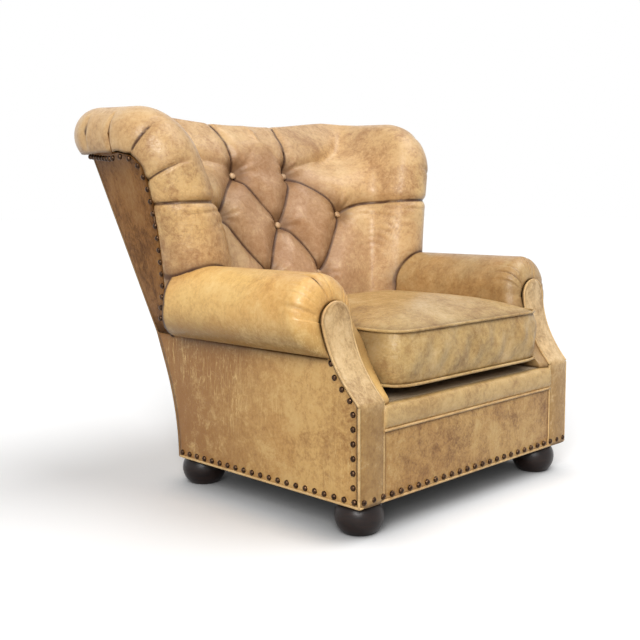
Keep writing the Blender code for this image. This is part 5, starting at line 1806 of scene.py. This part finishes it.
@dataclass
class Trim:
    """Welts and rows of dome nails."""

    lines: ChairLines
    roll: RollLine
    panels: OuterPanels
    arm: ArmPad
    welt: float = 0.0034
    nail_radius: float = 0.0072
    nail_height: float = 0.0056
    pitch: float = 0.03175
    base_rise: float = 0.014
    edge_inset: float = 0.010
    post_top: float = 0.392
    corner_inset: float = 0.012
    proud: float = 0.001
    knee_bow: float = 0.012
    knee_bow_z: float = 0.362
    knee_bow_width: float = 0.030
    wing_inset: float = 0.0085
    wing_drop: float = 0.019
    wing_lean: float = 0.030

    def nails(self, name: str, rows: list[NailRow], dresser: Dresser) -> None:
        """Builds one mesh of dome nails: half ellipsoids of revolution set along rows.

        Args:
            name: Name of the piece.
            rows: Paths of shape (n, 3), each with its outward directions.
            dresser: Dresses the piece.
        """
        slope = np.radians((0.0, 0.0, 28.0, 55.0, 78.0, 90.0))
        rise, reach = np.sin(slope), np.cos(slope)
        rise[0], reach[-1] = -0.25, 0.0
        turn = round_turn(12)
        quads = grid_faces(len(rise), len(turn), wrap=True)
        each = len(rise) * len(turn)
        points, faces, used = [], [], 0
        for path, out in rows:
            count = max(2, round(run_along(path)[-1] / self.pitch) + 1)
            place = resample(path, count)
            share = np.linspace(0.0, 1.0, len(out))
            at = np.linspace(0, 1, count)
            axis = unit(np.stack([np.interp(at, share, out[:, k]) for k in range(3)], -1))
            side = unit(np.cross(axis, np.array((0.31, 0.17, 0.94))))
            over = np.cross(axis, side)
            ring = np.cos(turn)[:, None] * side[:, None] + np.sin(turn)[:, None] * over[:, None]
            dome = (place[:, None, None]
                    + self.nail_height * rise[:, None, None] * axis[:, None, None]
                    + self.nail_radius * reach[:, None, None] * ring[:, None])
            starts = used + each * np.arange(count)
            faces.append((quads[None] + starts[:, None, None]).reshape(-1, 4))
            points.append(dome.reshape(-1, 3))
            used += each * count
        piece = make_mesh(name, np.concatenate(points), np.concatenate(faces), weld=1e-6)
        dresser.dress(piece, dresser.finishes.nails, slot="bolt_steel")

    def base_rows(self) -> list[NailRow]:
        """Rows of nails along the bottom of the front, the rear and the sides."""
        lines, z = self.lines, self.lines.underside + self.base_rise
        rows = []
        for half, y, out in ((lines.front_half, lines.front_y - 0.003, -1.0),
                             (lines.rear_half_width, lines.rear_foot_y + 0.002, 1.0)):
            wide = half - self.corner_inset
            rows.append((np.array(((-wide, y, z), (wide, y, z))), np.tile((0.0, out, 0.0), (2, 1))))
        y = np.array((lines.front_y + 0.014, lines.rear_foot_y - 0.018))
        path = np.stack([lines.side_x(y) + 0.0015, y, 0 * y + z], axis=-1)
        return rows + self.both_sides(path)

    def post_rows(self) -> list[NailRow]:
        """Rows of nails up the outer edge of each front post and along its sweep."""
        z = np.linspace(self.lines.underside + self.base_rise + self.pitch, self.post_top, 60)
        y = self.lines.sweep_y(z) + self.lines.front_skin + self.edge_inset
        y = y + self.knee_bow * bell(z - self.knee_bow_z, self.knee_bow_width)
        return self.both_sides(np.stack([self.lines.side_x(y) + self.proud, y, z], axis=-1))

    def wing_rows(self) -> list[NailRow]:
        """Rows of nails up the front edge of each outside wing and back along its top."""
        front, rear_z = self.panels.wing_front()
        rear = np.stack([self.lines.rear_half(rear_z), self.lines.rear_y(rear_z), rear_z], axis=-1)
        path = front + unit(rear - front) * self.wing_inset
        top = lerp(path[-1], rear[-1], np.linspace(0.0, 0.97, 12)[1:, None])
        path = np.concatenate([path, top])
        path[-40:, 2] -= np.linspace(0.0, self.wing_drop, 40)
        path[:, 0] += self.proud
        path[:, 1] += self.wing_lean * smoothstep(0.56, 0.40, path[:, 2])
        return self.both_sides(path)

    @staticmethod
    def both_sides(path: np.ndarray) -> list[NailRow]:
        """A row of the right side, carried to both sides, with its outward directions."""
        return [(path * side.flip, side.outward) for side in Side]

    def welts(self) -> list[np.ndarray]:
        """Paths of the welts along the base, round the facings, and along the band line."""
        lines, low = self.lines, self.lines.underside + 0.002
        front, rear = lines.front_y, lines.rear_foot_y
        wide, back, half = lines.front_half, lines.rear_half_width, lines.facing_inner
        corners = np.array(((-wide, front, low), (wide, front, low), (back, rear, low),
                            (-back, rear, low), (-wide, front, low)))
        band = np.array(((-half, front - 0.002, lines.band_z), (half, front - 0.002, lines.band_z)))
        arch_x, arch_z, arch_r = self.arm.arch
        z = np.linspace(low, lines.knee_z, 40)
        rise = np.linspace(lines.knee_z, arch_z, 40)[1:]
        inner, outer = self.arm.facing_edges(rise)
        turn = np.linspace(0.0, math.pi, 40)[1:-1]
        x = np.concatenate([0 * z + wide, outer, arch_x + arch_r * np.cos(turn), inner[::-1],
                            0 * z + half])
        height = np.concatenate([z, rise, arch_z + arch_r * np.sin(turn), rise[::-1], z[::-1]])
        round_facing = np.stack([x, lines.sweep_y(height) + 0.001, height], axis=-1)
        return [resample(corners, 240), resample(band, 60)] + [
            resample(round_facing * side.flip, 220) for side in Side]

    def build(self, dresser: Dresser) -> None:
        """Builds all welts and nails."""
        dresser.dress(tube("welts", self.welts(), self.welt), dresser.finishes.welt)
        self.nails("base_nails", self.base_rows(), dresser)
        self.nails("post_nails", self.post_rows(), dresser)
        self.nails("wing_nails", self.wing_rows(), dresser)


class FrameDress:
    """Finishes for the CAD nodes that keep their solids: wood, springs, bolts and linings."""

    PREFIXES = (
        ("foot_", "foot"), ("hanger_bolt", "steel"), ("seat_spring", "steel"),
        ("back_webbing", "jute"), ("dust_cover", "black"), ("seat_deck", "deck"),
        ("seat_cushion_core", "foam"),
    )

    def dress(self, frame: dict, finishes: Finishes) -> None:
        """Gives each CAD node its material.

        Args:
            frame: The loaded frame.
            finishes: All materials.
        """
        for name, node in frame["nodes"].items():
            finish = finishes.wood
            for prefix, key in self.PREFIXES:
                if name.startswith(prefix):
                    finish = getattr(finishes, key)
            for piece in (node if isinstance(node, (list, tuple)) else [node]):
                if getattr(piece, "type", None) == "MESH":
                    piece.data.materials.clear()
                    piece.data.materials.append(finish)


@dataclass
class BunFeet:
    """Four turned bun feet: one profile of revolution about each foot's upright axis."""

    radius: float = 0.0575
    middle: float = 0.040
    tall: float = 0.0533
    top: float = 0.0766
    sides: int = 72

    def build(self, dresser: Dresser) -> None:
        """Builds the feet where their CAD nodes stand: an ellipse cut level at foot and top."""
        start = math.asin((self.top - self.middle) / self.tall)
        turn = np.linspace(start, -math.asin(self.middle / self.tall), 40)
        reach = np.concatenate([[0.0], self.radius * np.cos(turn), [0.0]])
        height = np.concatenate([[self.top], self.middle + self.tall * np.sin(turn), [0.0]])
        around = round_turn(self.sides)
        foot = np.stack([reach[:, None] * np.cos(around), reach[:, None] * np.sin(around),
                         height[:, None] + 0 * around], axis=-1)
        faces = grid_faces(len(reach), self.sides, wrap=True)
        for end in ("front", "rear"):
            for side in Side:
                node = side.named("foot_" + end)
                low, high = (np.array(corner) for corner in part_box(node))
                centre = (low + high) / 2 * np.array((1.0, 1.0, 0.0))
                piece = make_mesh("turned_" + node, foot + centre, faces)
                dresser.dress(piece, dresser.finishes.foot, node, slot="stained_wood")


@dataclass
class Studio:
    """Camera, floor and lights."""

    place: Triple = (-2.0159, -1.9092, 0.7546)
    yaw: float = math.radians(45.9832)
    pitch: float = math.radians(6.9295)
    roll: float = math.radians(-0.2633)
    lens: float = 56.354
    floor_half: float = 30.0
    # Reach of the painted contact shadow on the floor.
    contact_shade: float = 0.16
    ambient: float = 0.15

    @staticmethod
    def link(name: str, data: bpy.types.ID) -> bpy.types.Object:
        """Adds an object to the scene."""
        made = bpy.data.objects.new(name, data)
        bpy.context.scene.collection.objects.link(made)
        return made

    def camera(self) -> None:
        """Creates the camera at the photograph's viewpoint."""
        data = bpy.data.cameras.new("camera")
        data.sensor_width = 36.0
        data.lens = self.lens
        level = math.cos(self.pitch)
        ahead = Vector((level * math.sin(self.yaw), level * math.cos(self.yaw),
                        -math.sin(self.pitch)))
        right = Vector((math.cos(self.yaw), -math.sin(self.yaw), 0.0))
        up = right.cross(ahead)
        across = right * math.cos(self.roll) + up * math.sin(self.roll)
        above = up * math.cos(self.roll) - right * math.sin(self.roll)
        pose = Matrix((across, above, -ahead)).transposed().to_4x4()
        pose.translation = Vector(self.place)
        camera = self.link("camera", data)
        camera.matrix_world = pose
        bpy.context.scene.camera = camera

    def sun(self, name: str, towards: Triple, power: float, spread: float) -> None:
        """Adds a distant lamp of a wide angle, which lights the whole floor evenly."""
        data = bpy.data.lights.new(name, "SUN")
        data.energy = power
        data.angle = math.radians(spread)
        lamp = self.link(name, data)
        lamp.rotation_euler = Vector(towards).to_track_quat("Z", "Y").to_euler()

    def floor(self) -> None:
        """Adds the pale floor: white to the camera outside shadows, darkened near the chair by a
        painted contact shadow, and duller as a reflector.
        """
        half = self.floor_half
        corners = [(-half, -half, 0.0), (half, -half, 0.0), (half, half, 0.0), (-half, half, 0.0)]
        mesh = bpy.data.meshes.new("floor")
        mesh.from_pydata(corners, [], [(0, 1, 2, 3)])
        floor = self.link("floor", mesh)
        made, nodes, shader = new_material("studio_floor")
        straight = nodes.straight()
        # Ambient occlusion darkens the floor's colour near the chair: a painted contact shadow.
        contact_shade = nodes.add("AmbientOcclusion", {"Distance": self.contact_shade}, samples=8)
        open_floor = nodes.ramp(contact_shade.outputs["AO"], 0.0, 0.9)
        pale = nodes.mix(open_floor, (0.10, 0.10, 0.10), (0.93, 0.93, 0.93))
        nodes.fill(shader, {
            "Base Color": nodes.mix(straight, (0.42, 0.41, 0.40), pale), "Roughness": 0.9,
            "Specular IOR Level": 0.0, "Emission Color": (1.0, 1.0, 1.0),
            "Emission Strength": nodes.times(straight, 0.015)})
        mesh.materials.append(made)

    def sky(self) -> None:
        """Lights the scene evenly, and shows white to the camera."""
        world = bpy.data.worlds.new("studio")
        bpy.context.scene.world = world
        world.use_nodes = True
        nodes = Nodes(world.node_tree)
        shown = nodes.times(nodes.straight(), 1 - self.ambient)
        nodes.fill(world.node_tree.nodes["Background"], {
            "Color": (1.0, 1.0, 1.0), "Strength": nodes.plus(shown, self.ambient)})

    def build(self) -> None:
        """Builds the studio."""
        bpy.context.scene.view_settings.view_transform = "Standard"
        self.camera()
        self.floor()
        self.sky()
        self.sun("key", (0.36, -0.34, 1.0), 1.6, 42.0)
        self.sun("fill", (-0.78, -0.56, 0.58), 3.2, 34.0)


def main() -> None:
    """Loads the frame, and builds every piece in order."""
    logging.basicConfig(level=logging.INFO, format="%(name)s: %(message)s")
    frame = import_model()
    Studio().build()
    finishes = Finishes()
    dresser = Dresser(finishes)
    lines, roll = ChairLines(), RollLine()
    FrameDress().dress(frame, finishes)
    TuftedBack(lines, roll).build(dresser)
    arm = ArmPad(lines, roll)
    panels = OuterPanels(lines, roll)
    for side in Side:
        arm.build(side, dresser)
        arm.facing(side, dresser)
        panels.outside_arm(side, dresser)
        panels.outside_wing(side, dresser)
    panels.outside_back(dresser)
    panels.front_panel(dresser)
    SeatCushion(lines).build(dresser)
    Trim(lines, roll, panels, arm).build(dresser)
    BunFeet().build(dresser)


if __name__ == "__main__":
    main()
